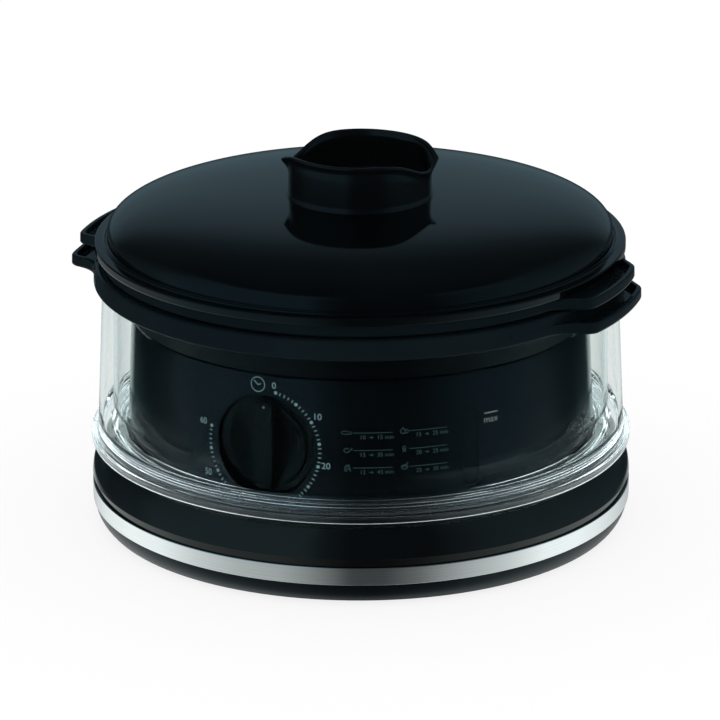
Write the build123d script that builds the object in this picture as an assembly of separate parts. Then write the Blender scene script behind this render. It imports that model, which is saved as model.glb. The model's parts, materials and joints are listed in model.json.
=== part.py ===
from build123d import *
import math
import os

# Electric food steamer, standing nested for storage: two bottomless clear bowls
# slide down over the tank column of the base, and the lid closes the inner bowl.
# Millimetres. +Z up, front is -Y, origin on the table under the centre line.

# ---- clearances ------------------------------------------------------------
SEAT = 0.3             # between stacked pieces that lift apart
FIT = 0.05             # between fixed pieces that touch along a curved wall
SHAFT_PLAY = 0.05      # radial, timer shaft in its hole
SLIP = 1.2             # between the column and the bowls that slip over it
BOLT_PLAY = 0.2        # round a screw in its clearance hole

# ---- base ------------------------------------------------------------------
BASE_R = 130.0         # widest radius of the skirt
FOOT_H = 1.6           # how far the feet stand out below
FOOT_R = 7.0
FOOT_SINK = 1.0        # depth of the pocket that holds a foot
FOOT_IN = 20.0         # foot circle, in from BASE_R
COVER_T = 2.5
COVER_FLAT_IN = 4.6    # edge of the flat underside, in from BASE_R
COVER_BULGE_IN = 1.8
COVER_BULGE_H = 3.9    # height of the bulge over the flat
BAND_RISE = 9.2        # steel band, from the flat underside to its lower edge
BAND_H = 8.5
BAND_T = 0.8
SHELL_T = 2.5          # skirt wall
REVEAL_H = 3.9         # shadow groove between band and skirt
REVEAL_D = 1.2
SHOULDER_R = 25.0      # arc of the skirt's shoulder
SHOULDER_H = 16.3      # height of that arc
TOP_PLATE_T = 3.0
SCREW_IN = 18.0        # cover screws, in from BASE_R
SCREW_R = 1.8
SCREW_HEAD_R = 3.5
SCREW_HEAD_H = 1.4
SCREW_SUNK = 0.1
SCREW_L = 14.0
SCREW_TIP_GAP = 2.0
BOSS_R = 5.0
VENT_COUNT = 12
VENT_L = 22.0
VENT_W = 3.0
VENT_IN = 80.0
SCREW_AZ = 45.0        # the cover screws stand between the feet

# ---- tank column -----------------------------------------------------------
COLUMN_IN = 17.3       # column's foot, in from BASE_R
COLUMN_H = 64.5
COLUMN_DRAFT = 0.0465  # radius lost per millimetre of height
COLUMN_T = 2.6
COLUMN_BEVEL = 1.0
COLUMN_FLANGE_W = 6.0
COLUMN_FLANGE_T = 3.0
NECK_IN = 2.5          # the neck that carries the tank and tray, in from the column's top
NECK_H = 4.5
WINDOW_AZ = 50.8       # water level window, degrees from the front towards +X
WINDOW_W = 8.0
WINDOW_LIFT = 10.5     # over the skirt
WINDOW_L = 36.5
WINDOW_T = 2.2
WINDOW_SUNK = 0.2

# ---- timer -----------------------------------------------------------------
DIAL_LIFT = 29.6       # dial axis over the skirt
KNOB_R = 24.2
KNOB_IN = 1.5          # grip bar's face, in from the column's foot
KNOB_RING_STEP = 5.0   # the outer ring lies this much behind the bar's face
KNOB_DISC_STEP = 3.0   # and the inner disc this much
KNOB_DISC_R = 19.7
KNOB_EDGE_R = 0.8
KNOB_T = 9.0
KNOB_BAR_W = 8.4
KNOB_BAR_R = 21.4      # round ends of the bar
KNOB_BAR_DRAFT = 0.26  # how fast the bar's flanks widen inwards
KNOB_SCOOP_R = 18.5    # finger hollow, at the disc's face
KNOB_SCOOP_D = 4.4
KNOB_POCKET_GAP = 0.4
POCKET_WALL = 3.0
DIAL_PANEL_MARGIN = 8.0
DIAL_PANEL_LIFT = 1.0  # the panel's lower edge, over the skirt
SHAFT_R = 3.0
SHAFT_IN_KNOB = 3.5
SHAFT_IN_TIMER = 12.0
SHAFT_END_GAP = 0.5
TIMER_W = 44.0
TIMER_D = 24.0
TIMER_EDGE_R = 4.0
EAR_W = 11.0
EAR_T = 3.0
EAR_H = 11.0
EAR_STEP = 3.0         # the ears lie this much behind the timer's face
EAR_SCREW_R = 1.5
EAR_SCREW_L = 4.5
EAR_SCREW_HEAD_H = 2.0
TIMER_BOSS_R = 4.0

# ---- tank and heater -------------------------------------------------------
TANK_T = 2.0
TANK_GAP = 0.8
TANK_LIFT = 6.5        # tank floor over the skirt
TANK_FLOOR_T = 2.5
TANK_LIP_T = 1.5
TANK_NOTCH_W = 76.0    # room for the timer
TANK_NOTCH_GAP = 2.0
HEATER_HOLE_R = 29.0
SEAL_W = 7.0
SEAL_T = 1.2
SEAL_PLAY = 0.5
PLATE_T = 1.5
PLATE_MARGIN = 1.0
COIL_R = 19.0
COIL_TUBE_R = 3.3
COIL_LIFT = 4.0        # under the coil, above the plate
COIL_GAP = 60.0        # degrees left open between the coil's ends
LEG_DROP = 8.0
HEATER_SCREWS = 3
HEATER_SCREW_TURN = 30.0
HEATER_BOSS_R = 3.2
HEATER_BOSS_H = 2.5
HEATER_SCREW_IN = 0.5  # how far a heater screw passes the tank floor
HEATER_SCREW_TIP = 0.5
THERMOSTAT_R = 8.0
THERMOSTAT_H = 7.0
THERMOSTAT_Y = 14.0
BLADE_X = 4.8
BLADE_W = 4.8
BLADE_T = 0.8
BLADE_L = 7.0
FUSE_R = 3.0
FUSE_L = 15.0
FUSE_Y = -2.0
TURBO_OUT = 6.5        # outside of the ring, out from the seal
TURBO_T = 2.2
TURBO_TOP_W = 6.0
TURBO_H = 30.0
TURBO_ARCHES = 6
TURBO_ARCH_R = 8.0

# ---- wiring ----------------------------------------------------------------
TERMINAL_W = 26.0
TERMINAL_D = 14.0
TERMINAL_H = 11.0
TERMINAL_IN = 42.0     # in from BASE_R
TERMINAL_WELL_R = 2.0
TERMINAL_WELL_D = 4.0
TERMINAL_WELL_Y = 2.5
WIRE_Y = -3.0          # where the wires leave, from the block's middle
WIRE_R = 1.2
WIRE_BEND = 2.2
WIRE_STEP = 2.5        # height between the lanes of the wires
GLAND_DROP = 11.3      # axis under the skirt's top
GLAND_R = 6.0
GLAND_FLANGE_R = 8.6
GLAND_FLANGE_T = 1.8
GLAND_BORE_R = 3.6
GLAND_L = 11.0
GLAND_PAD_WALL = 1.9

# ---- juice tray and grids --------------------------------------------------
TRAY_T = 2.0
TRAY_SKIRT_T = 2.4
TRAY_RIM_H = 5.0
CHIMNEY_R = 26.0
GRID_PLAY = 0.5        # between a grid and the inner bowl
GRID_T = 2.0
GRID_RIM_T = 2.0
GRID_H = 4.0
GRID_HOLE_R = 2.4
GRID_PITCH = 13.0      # between rings of holes
GRID_TWIST = 5.0       # degrees from one ring to the next

# ---- bowls -----------------------------------------------------------------
WALL_T = 2.0
WALL_DRAFT = 0.0475
BOWL_IN = 3.4          # outer bowl's wall at its foot, in from BASE_R
FLARE_LIFT = 11.5      # heights over the skirt's top
FLARE_SHOULDER_LIFT = 5.7
LIP_LIFT = 1.2
LEDGE_LIFT = 8.5
FLARE_BLEND = 2.5
LIP_T = 2.2
LIP_BEVEL = 0.6
LEDGE_T = 2.0
FOOT_RING_OUT = 5.1    # foot ring, out from the ledge's opening
FOOT_RING_T = 2.0
BOWL_GAP = 5.3         # between the two bowls' walls
INNER_DRAFT = 0.02
INNER_T = 1.8
INNER_LEDGE_STEP = 10.0
INNER_BEAD = 1.3
INNER_BEAD_H = 4.0
RIM_OVER = 1.0         # lower black rim, out from the wall
RIM_LIFT = 14.8        # its underside over the column's top
RIM_H = 9.5
RIM_PLATE_T = 3.6
RIM_EDGE = 0.8         # bevel round a rim's top
UPPER_RIM_OVER = 4.3
UPPER_RIM_STEP = 0.9   # between the two rims
UPPER_RIM_H = 8.3
UPPER_PLATE_T = 3.2
STACK_RIB_W = 1.0      # rib under the upper rim that rests on the lower one
WALL_GRIP = 0.1        # play of a clear wall in the slot of its rim
HANDLE_T = 5.2
HANDLE_LIP = 2.8
HANDLE_FLOOR_T = 2.2
HANDLE_OVERLAP = 1.0   # how deep a handle runs into its rim
HANDLE_L = 11.2        # lower handle, out from its rim
UPPER_HANDLE_L = 12.0
HANDLE_FRONT_W = 40.0  # lower handle's front corner, from the middle of the rim
HANDLE_REAR_W = 21.0   # and its rear corner
UPPER_NARROWER = 3.0   # the upper handle's front corner, less than the lower one's
UPPER_REAR_STEP = 1.0
FRONT_SPLAY = 0.25     # how fast a handle's front side widens towards the rim
REAR_SPLAY = 1.0
FRONT_CORNER = 7.0
REAR_CORNER = 10.0
FRONT_ROOT_R = 20.0    # hollow blend from the front side into the rim
REAR_ROOT_R = 16.0
HANDLE_BOW = 2.4

# ---- lid -------------------------------------------------------------------
LID_OVER = 3.1         # flange, out from the upper rim
LID_FLANGE_T = 1.1
LID_LIP_DROP = 2.8
LID_LIP_T = 1.7
LID_T = 2.5
LID_EDGE = 0.4
RIDGE_IN = 4.8         # ridge, in from the flange's edge
RIDGE_H = 1.0
RIDGE_W = 1.0
DOME_IN = 6.2
DOME_STEP = 3.3        # dome's edge over the ridge
DOME_H = 16.8
DOME_FLATNESS = 0.747  # share of the radius that pulls the dome flat
DOME_EDGE_PULL = 10.8  # height that pulls the dome's edge upright
PLUG_PLAY = 0.7
PLUG_T = 2.2
PLUG_DROP = 6.3
PLUG_BLEND = 2.0
CUP_R = 34.5
CUP_T = 2.2
CUP_SEAT = 0.6         # depth of the flat seat in the dome
CUP_H = 22.9
CUP_FLARE = 1.0
CUP_FLARE_H = 6.0
CUP_FLOOR_T = 2.4
CUP_DIP_R = 30.0
CUP_DIP = 7.7
CUP_DIP_AZ = 98.7      # degrees from the front towards +X, and again opposite
CUP_BEAK_AZ = 114.7
CUP_BEAK_OUT = 3.1
CUP_BEAK_HALF = 15.0   # degrees
CUP_BEAK_DROP = 7.9    # foot of the beak, under the cup's top
CUP_BEAK_H = 3.6
CUP_SCREW_R = 2.0
CUP_SCREW_HEAD_R = 4.0
CUP_SCREW_HEAD_H = 2.4
CUP_SCREW_IN = 5.5     # how far the screw goes into the cup's boss
CUP_BOSS_R = 5.0
CUP_BOSS_H = 8.0
CUP_BOSS_ROOF = 1.5
STEAM_SLOTS = 6
STEAM_SLOT_L = 9.0
STEAM_SLOT_W = 3.0
STEAM_CIRCLE = 18.0

# ---- worked-out sizes ------------------------------------------------------
COVER_FLAT_R = BASE_R - COVER_FLAT_IN
FOOT_CIRCLE = BASE_R - FOOT_IN
SCREW_CIRCLE = BASE_R - SCREW_IN
BAND_Z0 = FOOT_H + BAND_RISE
BAND_Z1 = BAND_Z0 + BAND_H
BAND_SEAT_R = BASE_R - BAND_T
SEAM_Z = (BAND_Z0 + BAND_Z1) / 2
SKIRT_Z0 = BAND_Z1 + REVEAL_H
SKIRT_TOP = SKIRT_Z0 + SHOULDER_H
PLATE_Z0 = SKIRT_TOP - TOP_PLATE_T
COVER_TOP = FOOT_H + COVER_T
COLUMN_R = BASE_R - COLUMN_IN
COLUMN_TOP = SKIRT_TOP + COLUMN_H
NECK_R = COLUMN_R - COLUMN_DRAFT * COLUMN_H - NECK_IN
NECK_TOP = COLUMN_TOP + NECK_H
WINDOW_Z0 = SKIRT_TOP + WINDOW_LIFT
WINDOW_Z1 = WINDOW_Z0 + WINDOW_L
GLAND_Z = SKIRT_TOP - GLAND_DROP

DIAL_Z = SKIRT_TOP + DIAL_LIFT
KNOB_FACE = COLUMN_R - KNOB_IN
KNOB_BACK = KNOB_FACE - KNOB_T
POCKET_BACK = KNOB_BACK - KNOB_POCKET_GAP
PANEL_BACK = POCKET_BACK - POCKET_WALL
TIMER_BACK = PANEL_BACK - TIMER_D
EAR_X = TIMER_W / 2 + EAR_W / 2
EAR_FRONT = PANEL_BACK - EAR_STEP

TANK_R = NECK_R - COLUMN_T - TANK_GAP
TANK_FLOOR_Z = SKIRT_TOP + TANK_LIFT
TANK_INSIDE_Z = TANK_FLOOR_Z + TANK_FLOOR_T
TANK_LIP_Z = NECK_TOP + SEAT
TANK_TOP = TANK_LIP_Z + TANK_LIP_T
SEAL_R = HEATER_HOLE_R + SEAL_W
SEAL_Z0 = TANK_FLOOR_Z - SEAL_T
PLATE_R = SEAL_R + PLATE_MARGIN
HEATER_PLATE_Z0 = SEAL_Z0 - PLATE_T
HEATER_SCREW_CIRCLE = HEATER_HOLE_R + SEAL_W / 2
COIL_Z = SEAL_Z0 + COIL_LIFT + COIL_TUBE_R
TURBO_R = SEAL_R + TURBO_OUT
TERMINAL_Y = BASE_R - TERMINAL_IN

TRAY_Z0 = COLUMN_TOP + SEAT
TRAY_FLOOR_Z = TANK_TOP + SEAT
TRAY_FLOOR_TOP = TRAY_FLOOR_Z + TRAY_T
TRAY_TOP = TRAY_FLOOR_TOP + TRAY_RIM_H
TRAY_IN_R = NECK_R + SEAT
TRAY_R = TRAY_IN_R + TRAY_SKIRT_T
GRID_1_Z = TRAY_TOP + SEAT
GRID_2_Z = GRID_1_Z + GRID_H + SEAT

BOWL_R = BASE_R - BOWL_IN
FLARE_Z = SKIRT_TOP + FLARE_LIFT
FLARE_SHOULDER_Z = SKIRT_TOP + FLARE_SHOULDER_LIFT
LIP_Z = SKIRT_TOP + LIP_LIFT
LEDGE_Z = SKIRT_TOP + LEDGE_LIFT
LEDGE_R = COLUMN_R + SLIP
FOOT_RING_R = LEDGE_R + FOOT_RING_OUT
INNER_R = BOWL_R - WALL_T - BOWL_GAP
INNER_LEDGE_Z = LEDGE_Z + INNER_LEDGE_STEP
INNER_BEAD_R = INNER_R + INNER_BEAD
RIM_R = BOWL_R + RIM_OVER
RIM_Z0 = COLUMN_TOP + RIM_LIFT
RIM_TOP = RIM_Z0 + RIM_H
UPPER_RIM_R = INNER_R + UPPER_RIM_OVER
UPPER_RIM_Z0 = RIM_TOP + UPPER_RIM_STEP
UPPER_RIM_TOP = UPPER_RIM_Z0 + UPPER_RIM_H
UPPER_RIM_IN_R = INNER_R - INNER_DRAFT * (UPPER_RIM_TOP - INNER_LEDGE_Z) - INNER_T
GRID_R = UPPER_RIM_IN_R - GRID_PLAY

LID_R = UPPER_RIM_R + LID_OVER
LID_SEAT_Z = UPPER_RIM_TOP + SEAT
LID_LIP_Z = LID_SEAT_Z - LID_LIP_DROP
LID_FLANGE_Z = LID_SEAT_Z + LID_FLANGE_T
RIDGE_R = LID_R - RIDGE_IN
RIDGE_Z = LID_FLANGE_Z + RIDGE_H
DOME_R = LID_R - DOME_IN
DOME_EDGE_Z = RIDGE_Z + DOME_STEP
DOME_TOP = DOME_EDGE_Z + DOME_H
DOME_FULL_R = DOME_R * DOME_FLATNESS
DOME_FULL_Z = DOME_EDGE_Z + DOME_EDGE_PULL
PLUG_R = UPPER_RIM_IN_R - PLUG_PLAY
PLUG_Z = LID_SEAT_Z - PLUG_DROP
CUP_Z0 = DOME_TOP - CUP_SEAT
CUP_TOP = CUP_Z0 + CUP_H


# ---- helpers ---------------------------------------------------------------
def turned(*outline):
    """A solid of revolution about +Z from (radius, height) points or edges."""
    if isinstance(outline[0], tuple):
        outline = [Polyline(*outline, close=True)]
    return revolve(Plane.XZ * make_face(outline), Axis.Z)


def tube(outer, inner, z0, z1):
    return turned((inner, z0), (outer, z0), (outer, z1), (inner, z1))


def post(radius, z0, z1, x=0.0, y=0.0):
    return Pos(x, y, z0) * Cylinder(radius, z1 - z0, align=(Align.CENTER, Align.CENTER, Align.MIN))


def rod_y(radius, y0, y1, x=0.0, z=0.0):
    """A cylinder along Y from y0 to y1."""
    place = Plane((x, y0, z), x_dir=(1, 0, 0), z_dir=(0, 1, 0))
    return place * Cylinder(radius, y1 - y0, align=(Align.CENTER, Align.CENTER, Align.MIN))


def block(x0, x1, y0, y1, z0, z1):
    return Pos((x0 + x1) / 2, (y0 + y1) / 2, (z0 + z1) / 2) * Box(x1 - x0, y1 - y0, z1 - z0)


def around(count, radius, start=0.0):
    """The places of a circular pattern, as (x, y, degrees)."""
    for i in range(count):
        angle = start + 360.0 * i / count
        yield (radius * math.cos(math.radians(angle)), radius * math.sin(math.radians(angle)), angle)


def facing(azimuth):
    """A turn about Z that brings a piece built on the front (-Y) to this azimuth."""
    return Rot(0, 0, azimuth)


def column_radius(z):
    return COLUMN_R - COLUMN_DRAFT * (z - SKIRT_TOP)


def wall_radius(z):
    return BOWL_R - WALL_DRAFT * (z - FLARE_Z)


def inner_radius(z):
    return INNER_R - INNER_DRAFT * (z - INNER_LEDGE_Z)


def shoulder_radius(z, inset=0.0):
    """Outside radius of the skirt's rounded shoulder at a height."""
    rise = z - SKIRT_Z0
    arc = SHOULDER_R - inset
    return BASE_R - SHOULDER_R + math.sqrt(arc * arc - rise * rise)


# ---- base shells -----------------------------------------------------------
def bottom_cover():
    bulge_r = BASE_R - COVER_BULGE_IN
    bulge_z = FOOT_H + COVER_BULGE_H
    in_r = BAND_SEAT_R - COVER_T
    cover = turned(
        Line((0, FOOT_H), (COVER_FLAT_R, FOOT_H)),
        ThreePointArc((COVER_FLAT_R, FOOT_H), (bulge_r, bulge_z), (BAND_SEAT_R, BAND_Z0)),
        Polyline((BAND_SEAT_R, BAND_Z0), (BAND_SEAT_R, SEAM_Z), (in_r, SEAM_Z), (in_r, bulge_z + COVER_T / 2),
                 (COVER_FLAT_R - COVER_T / 2, COVER_TOP), (0, COVER_TOP), (0, FOOT_H)))
    for x, y, _ in around(4, FOOT_CIRCLE):
        cover = cover - post(FOOT_R + FIT, FOOT_H, FOOT_H + FOOT_SINK, x, y)
    for x, y, _ in around(4, SCREW_CIRCLE, SCREW_AZ):
        cover = cover - post(SCREW_R + BOLT_PLAY, FOOT_H, COVER_TOP, x, y)
        cover = cover - post(SCREW_HEAD_R + BOLT_PLAY, FOOT_H, FOOT_H + SCREW_HEAD_H, x, y)
    for x, y, angle in around(VENT_COUNT, BASE_R - VENT_IN):
        slot = extrude(SlotOverall(VENT_L, VENT_W), COVER_T)
        cover = cover - Pos(x, y, FOOT_H) * Rot(0, 0, angle) * slot
    return cover


def feet():
    return [post(FOOT_R, 0, FOOT_H + FOOT_SINK, x, y) for x, y, _ in around(4, FOOT_CIRCLE)]


def steel_band():
    return tube(BASE_R, BAND_SEAT_R + FIT, BAND_Z0, BAND_Z1)


def base_skirt():
    groove_r = BASE_R - REVEAL_D
    top_r = shoulder_radius(SKIRT_TOP)
    inner_top_r = shoulder_radius(PLATE_Z0, SHELL_T)
    hole_r = COLUMN_R + FIT
    mid_z = (SKIRT_Z0 + SKIRT_TOP) / 2
    inner_mid_z = (SKIRT_Z0 + PLATE_Z0) / 2
    in_r = BAND_SEAT_R - SHELL_T
    edges = [
        Line((in_r, SEAM_Z), (BAND_SEAT_R, SEAM_Z)),
        Line((BAND_SEAT_R, SEAM_Z), (BAND_SEAT_R, BAND_Z1)),
        Line((BAND_SEAT_R, BAND_Z1), (groove_r, BAND_Z1)),
        Line((groove_r, BAND_Z1), (groove_r, SKIRT_Z0)),
        Line((groove_r, SKIRT_Z0), (BASE_R, SKIRT_Z0)),
        ThreePointArc((BASE_R, SKIRT_Z0), (shoulder_radius(mid_z), mid_z), (top_r, SKIRT_TOP)),
        Line((top_r, SKIRT_TOP), (hole_r, SKIRT_TOP)),
        Line((hole_r, SKIRT_TOP), (hole_r, PLATE_Z0)),
        Line((hole_r, PLATE_Z0), (inner_top_r, PLATE_Z0)),
        ThreePointArc((inner_top_r, PLATE_Z0), (shoulder_radius(inner_mid_z, SHELL_T), inner_mid_z),
                      (BASE_R - SHELL_T, SKIRT_Z0)),
        Line((BASE_R - SHELL_T, SKIRT_Z0), (in_r, BAND_Z1)),
        Line((in_r, BAND_Z1), (in_r, SEAM_Z)),
    ]
    skirt = turned(*edges)
    pad_face = BASE_R - GLAND_FLANGE_T
    skirt = skirt + rod_y(GLAND_FLANGE_R + GLAND_PAD_WALL, BASE_R - GLAND_L, pad_face, 0, GLAND_Z)
    skirt = skirt - rod_y(GLAND_FLANGE_R + FIT, pad_face, BASE_R + 1, 0, GLAND_Z)
    return skirt - rod_y(GLAND_R + FIT, BASE_R - GLAND_L - 1, BASE_R + 1, 0, GLAND_Z)


def cover_screws():
    screws = []
    for x, y, _ in around(4, SCREW_CIRCLE, SCREW_AZ):
        head = post(SCREW_HEAD_R, FOOT_H + SCREW_SUNK, FOOT_H + SCREW_HEAD_H, x, y)
        tip_z = COVER_TOP + SCREW_L - SCREW_TIP_GAP
        screws.append(head + post(SCREW_R - FIT, FOOT_H + SCREW_HEAD_H, tip_z, x, y))
    return screws


def cord_gland():
    pad_face = BASE_R - GLAND_FLANGE_T
    gland = rod_y(GLAND_FLANGE_R, pad_face, BASE_R, 0, GLAND_Z)
    gland = gland + rod_y(GLAND_R, BASE_R - GLAND_L, pad_face, 0, GLAND_Z)
    return gland - rod_y(GLAND_BORE_R, BASE_R - GLAND_L - 1, BASE_R + 1, 0, GLAND_Z)


# ---- column and timer ------------------------------------------------------
def window_prism(width, z0, z1):
    """An upright slot with a round top and foot, through the column wall."""
    place = Plane((0, -BASE_R, (z0 + z1) / 2), x_dir=(1, 0, 0), z_dir=(0, 1, 0))
    slot = place * extrude(Rot(0, 0, 90) * SlotOverall(z1 - z0, width), BASE_R - NECK_R + COLUMN_T)
    return facing(WINDOW_AZ) * slot


def column_shell():
    """The whole column: a drafted shell with the dial pocket, the timer's bosses and the window slot."""
    foot_z = PLATE_Z0 - COLUMN_FLANGE_T
    bevel_z = COLUMN_TOP - COLUMN_BEVEL
    under_z = COLUMN_TOP - COLUMN_T
    shell = turned(
        (COLUMN_R - COLUMN_T, foot_z), (COLUMN_R + COLUMN_FLANGE_W, foot_z),
        (COLUMN_R + COLUMN_FLANGE_W, PLATE_Z0), (COLUMN_R, PLATE_Z0), (COLUMN_R, SKIRT_TOP),
        (column_radius(bevel_z), bevel_z), (column_radius(COLUMN_TOP) - COLUMN_BEVEL, COLUMN_TOP),
        (NECK_R, COLUMN_TOP), (NECK_R, NECK_TOP), (NECK_R - COLUMN_T, NECK_TOP),
        (NECK_R - COLUMN_T, under_z), (column_radius(under_z) - COLUMN_T, under_z),
        (COLUMN_R - COLUMN_T, SKIRT_TOP))
    for x, y, _ in around(4, SCREW_CIRCLE, SCREW_AZ):
        shell = shell + post(BOSS_R, COVER_TOP + FIT, foot_z + COLUMN_FLANGE_T / 2, x, y)
        shell = shell - post(SCREW_R, COVER_TOP, COVER_TOP + SCREW_L, x, y)
    pocket_r = KNOB_R + KNOB_POCKET_GAP
    inside = turned((0, foot_z), (COLUMN_R, foot_z), (COLUMN_R, SKIRT_TOP),
                    (column_radius(bevel_z), bevel_z), (0, bevel_z))
    shell = shell + (rod_y(pocket_r + POCKET_WALL, -BASE_R, -PANEL_BACK, 0, DIAL_Z) & inside)
    for side in (-1, 1):
        x = side * EAR_X
        wall_y = -math.sqrt(column_radius(DIAL_Z) ** 2 - x * x) + COLUMN_T / 2
        shell = shell + rod_y(TIMER_BOSS_R, wall_y, -EAR_FRONT, x, DIAL_Z)
        shell = shell - rod_y(EAR_SCREW_R, -EAR_FRONT - EAR_SCREW_L - SHAFT_END_GAP, -EAR_FRONT, x, DIAL_Z)
    shell = shell - rod_y(pocket_r, -BASE_R, -POCKET_BACK, 0, DIAL_Z)
    shell = shell - rod_y(SHAFT_R + KNOB_POCKET_GAP, -POCKET_BACK, -PANEL_BACK, 0, DIAL_Z)
    return shell - window_prism(WINDOW_W, WINDOW_Z0, WINDOW_Z1)


def dial_region():
    half_w = EAR_X + TIMER_BOSS_R + DIAL_PANEL_MARGIN
    half_h = DIAL_Z - SKIRT_TOP - DIAL_PANEL_LIFT
    return block(-half_w, half_w, -BASE_R, -TIMER_BACK, DIAL_Z - half_h, DIAL_Z + half_h)


def column_housing():
    return column_shell() - dial_region()


def dial_panel():
    return column_shell() & dial_region()


def level_window():
    outside = [(column_radius(z) - WINDOW_SUNK, z) for z in (WINDOW_Z0, WINDOW_Z1)]
    inside = [(radius - WINDOW_T, z) for radius, z in reversed(outside)]
    return turned(*outside, *inside) & window_prism(WINDOW_W - 2 * FIT, WINDOW_Z0 + FIT, WINDOW_Z1 - FIT)


def timer_body():
    half = TIMER_W / 2
    body = block(-half, half, -PANEL_BACK, -TIMER_BACK, DIAL_Z - half, DIAL_Z + half)
    body = fillet(body.edges().filter_by(Axis.Y), TIMER_EDGE_R)
    ear_y = (-EAR_FRONT, -EAR_FRONT + EAR_T)
    ear_end = EAR_X + EAR_W / 2
    body = body + block(-ear_end, ear_end, *ear_y, DIAL_Z - EAR_H / 2, DIAL_Z + EAR_H / 2)
    for side in (-1, 1):
        body = body - rod_y(EAR_SCREW_R + BOLT_PLAY, *ear_y, side * EAR_X, DIAL_Z)
    hole_end = -PANEL_BACK + SHAFT_IN_TIMER + SHAFT_END_GAP
    return body - rod_y(SHAFT_R + SHAFT_PLAY, -PANEL_BACK, hole_end, 0, DIAL_Z)


def timer_screws():
    screws = []
    for side in (-1, 1):
        x = side * EAR_X
        back = -EAR_FRONT + EAR_T
        head = rod_y(2 * EAR_SCREW_R, back, back + EAR_SCREW_HEAD_H, x, DIAL_Z)
        screws.append(head + rod_y(EAR_SCREW_R - FIT, -EAR_FRONT - EAR_SCREW_L, back, x, DIAL_Z))
    return screws


def timer_shaft():
    return rod_y(SHAFT_R, -KNOB_BACK - SHAFT_IN_KNOB, -PANEL_BACK + SHAFT_IN_TIMER, 0, DIAL_Z)


def timer_knob():
    """A ring, a raised disc with a hollow for the fingers, and a grip bar across it."""
    ring_face = KNOB_FACE - KNOB_RING_STEP
    disc_face = KNOB_FACE - KNOB_DISC_STEP
    knob = rod_y(KNOB_R, -ring_face, -KNOB_BACK, 0, DIAL_Z)
    knob = fillet(knob.edges().filter_by(GeomType.CIRCLE).sort_by(Axis.Y)[0], KNOB_EDGE_R)
    knob = knob + rod_y(KNOB_DISC_R, -disc_face, -KNOB_BACK, 0, DIAL_Z)
    ball_r = (KNOB_SCOOP_R ** 2 + KNOB_SCOOP_D ** 2) / (2 * KNOB_SCOOP_D)
    knob = knob - Pos(0, -disc_face - ball_r + KNOB_SCOOP_D, DIAL_Z) * Sphere(ball_r)
    top_w = KNOB_BAR_W / 2
    foot_w = top_w + KNOB_BAR_DRAFT * KNOB_T
    section = Polyline((-top_w, -KNOB_FACE), (top_w, -KNOB_FACE), (foot_w, -KNOB_BACK), (-foot_w, -KNOB_BACK),
                       close=True)
    bar = Pos(0, 0, DIAL_Z - KNOB_R) * extrude(make_face(section), 2 * KNOB_R)
    knob = knob + (bar & rod_y(KNOB_BAR_R, -KNOB_FACE, -KNOB_BACK, 0, DIAL_Z))
    return knob - rod_y(SHAFT_R + FIT / 2, -KNOB_BACK - SHAFT_IN_KNOB - SHAFT_END_GAP, -KNOB_BACK, 0, DIAL_Z)


# ---- tank and heater -------------------------------------------------------
def tank_outline(inset):
    """The tank's plan: a circle with a square bay cut in its front for the timer."""
    bay_back = TIMER_BACK - TANK_NOTCH_GAP - inset
    disc = Circle(TANK_R - inset)
    bay = Pos(0, -TANK_R) * Rectangle(TANK_NOTCH_W + 2 * inset, 2 * (TANK_R - bay_back))
    return disc - bay


def heater_screw_places():
    return around(HEATER_SCREWS, HEATER_SCREW_CIRCLE, HEATER_SCREW_TURN)


def tank_floor():
    floor = Pos(0, 0, TANK_FLOOR_Z) * extrude(tank_outline(0), TANK_FLOOR_T)
    floor = floor - post(HEATER_HOLE_R, TANK_FLOOR_Z, TANK_INSIDE_Z)
    for x, y, _ in heater_screw_places():
        floor = floor + post(HEATER_BOSS_R, TANK_FLOOR_Z, TANK_INSIDE_Z + HEATER_BOSS_H, x, y)
        hole_end = TANK_INSIDE_Z + HEATER_SCREW_IN + HEATER_SCREW_TIP
        floor = floor - post(EAR_SCREW_R, TANK_FLOOR_Z, hole_end, x, y)
    return floor


def tank_wall():
    ring = tank_outline(0) - tank_outline(TANK_T)
    return Pos(0, 0, TANK_INSIDE_Z) * extrude(ring, TANK_LIP_Z - TANK_INSIDE_Z)


def tank_lip():
    lip = Circle(NECK_R - FIT) - tank_outline(TANK_T)
    return Pos(0, 0, TANK_LIP_Z) * extrude(lip, TANK_LIP_T)


def element_seal():
    seal = tube(SEAL_R, HEATER_HOLE_R + SEAL_PLAY, SEAL_Z0, TANK_FLOOR_Z)
    for x, y, _ in heater_screw_places():
        seal = seal - post(EAR_SCREW_R + BOLT_PLAY, SEAL_Z0, TANK_FLOOR_Z, x, y)
    return seal


def leg_places():
    half_gap = math.radians(COIL_GAP / 2)
    for side in (-1, 1):
        yield (side * COIL_R * math.sin(half_gap), -COIL_R * math.cos(half_gap))


def heater_plate():
    plate = post(PLATE_R, HEATER_PLATE_Z0, SEAL_Z0)
    for x, y in leg_places():
        plate = plate - post(COIL_TUBE_R + FIT, HEATER_PLATE_Z0, SEAL_Z0, x, y)
    for x, y, _ in heater_screw_places():
        plate = plate - post(EAR_SCREW_R + BOLT_PLAY, HEATER_PLATE_Z0, SEAL_Z0, x, y)
    return plate


def heating_element():
    section = Plane.XZ * Pos(COIL_R, COIL_Z) * Circle(COIL_TUBE_R)
    coil = Rot(0, 0, COIL_GAP / 2 - 90) * revolve(section, Axis.Z, 360 - COIL_GAP)
    for x, y in leg_places():
        coil = coil + Pos(x, y, COIL_Z) * Sphere(COIL_TUBE_R)
        coil = coil + post(COIL_TUBE_R, HEATER_PLATE_Z0 - LEG_DROP, COIL_Z, x, y)
    return coil


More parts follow.
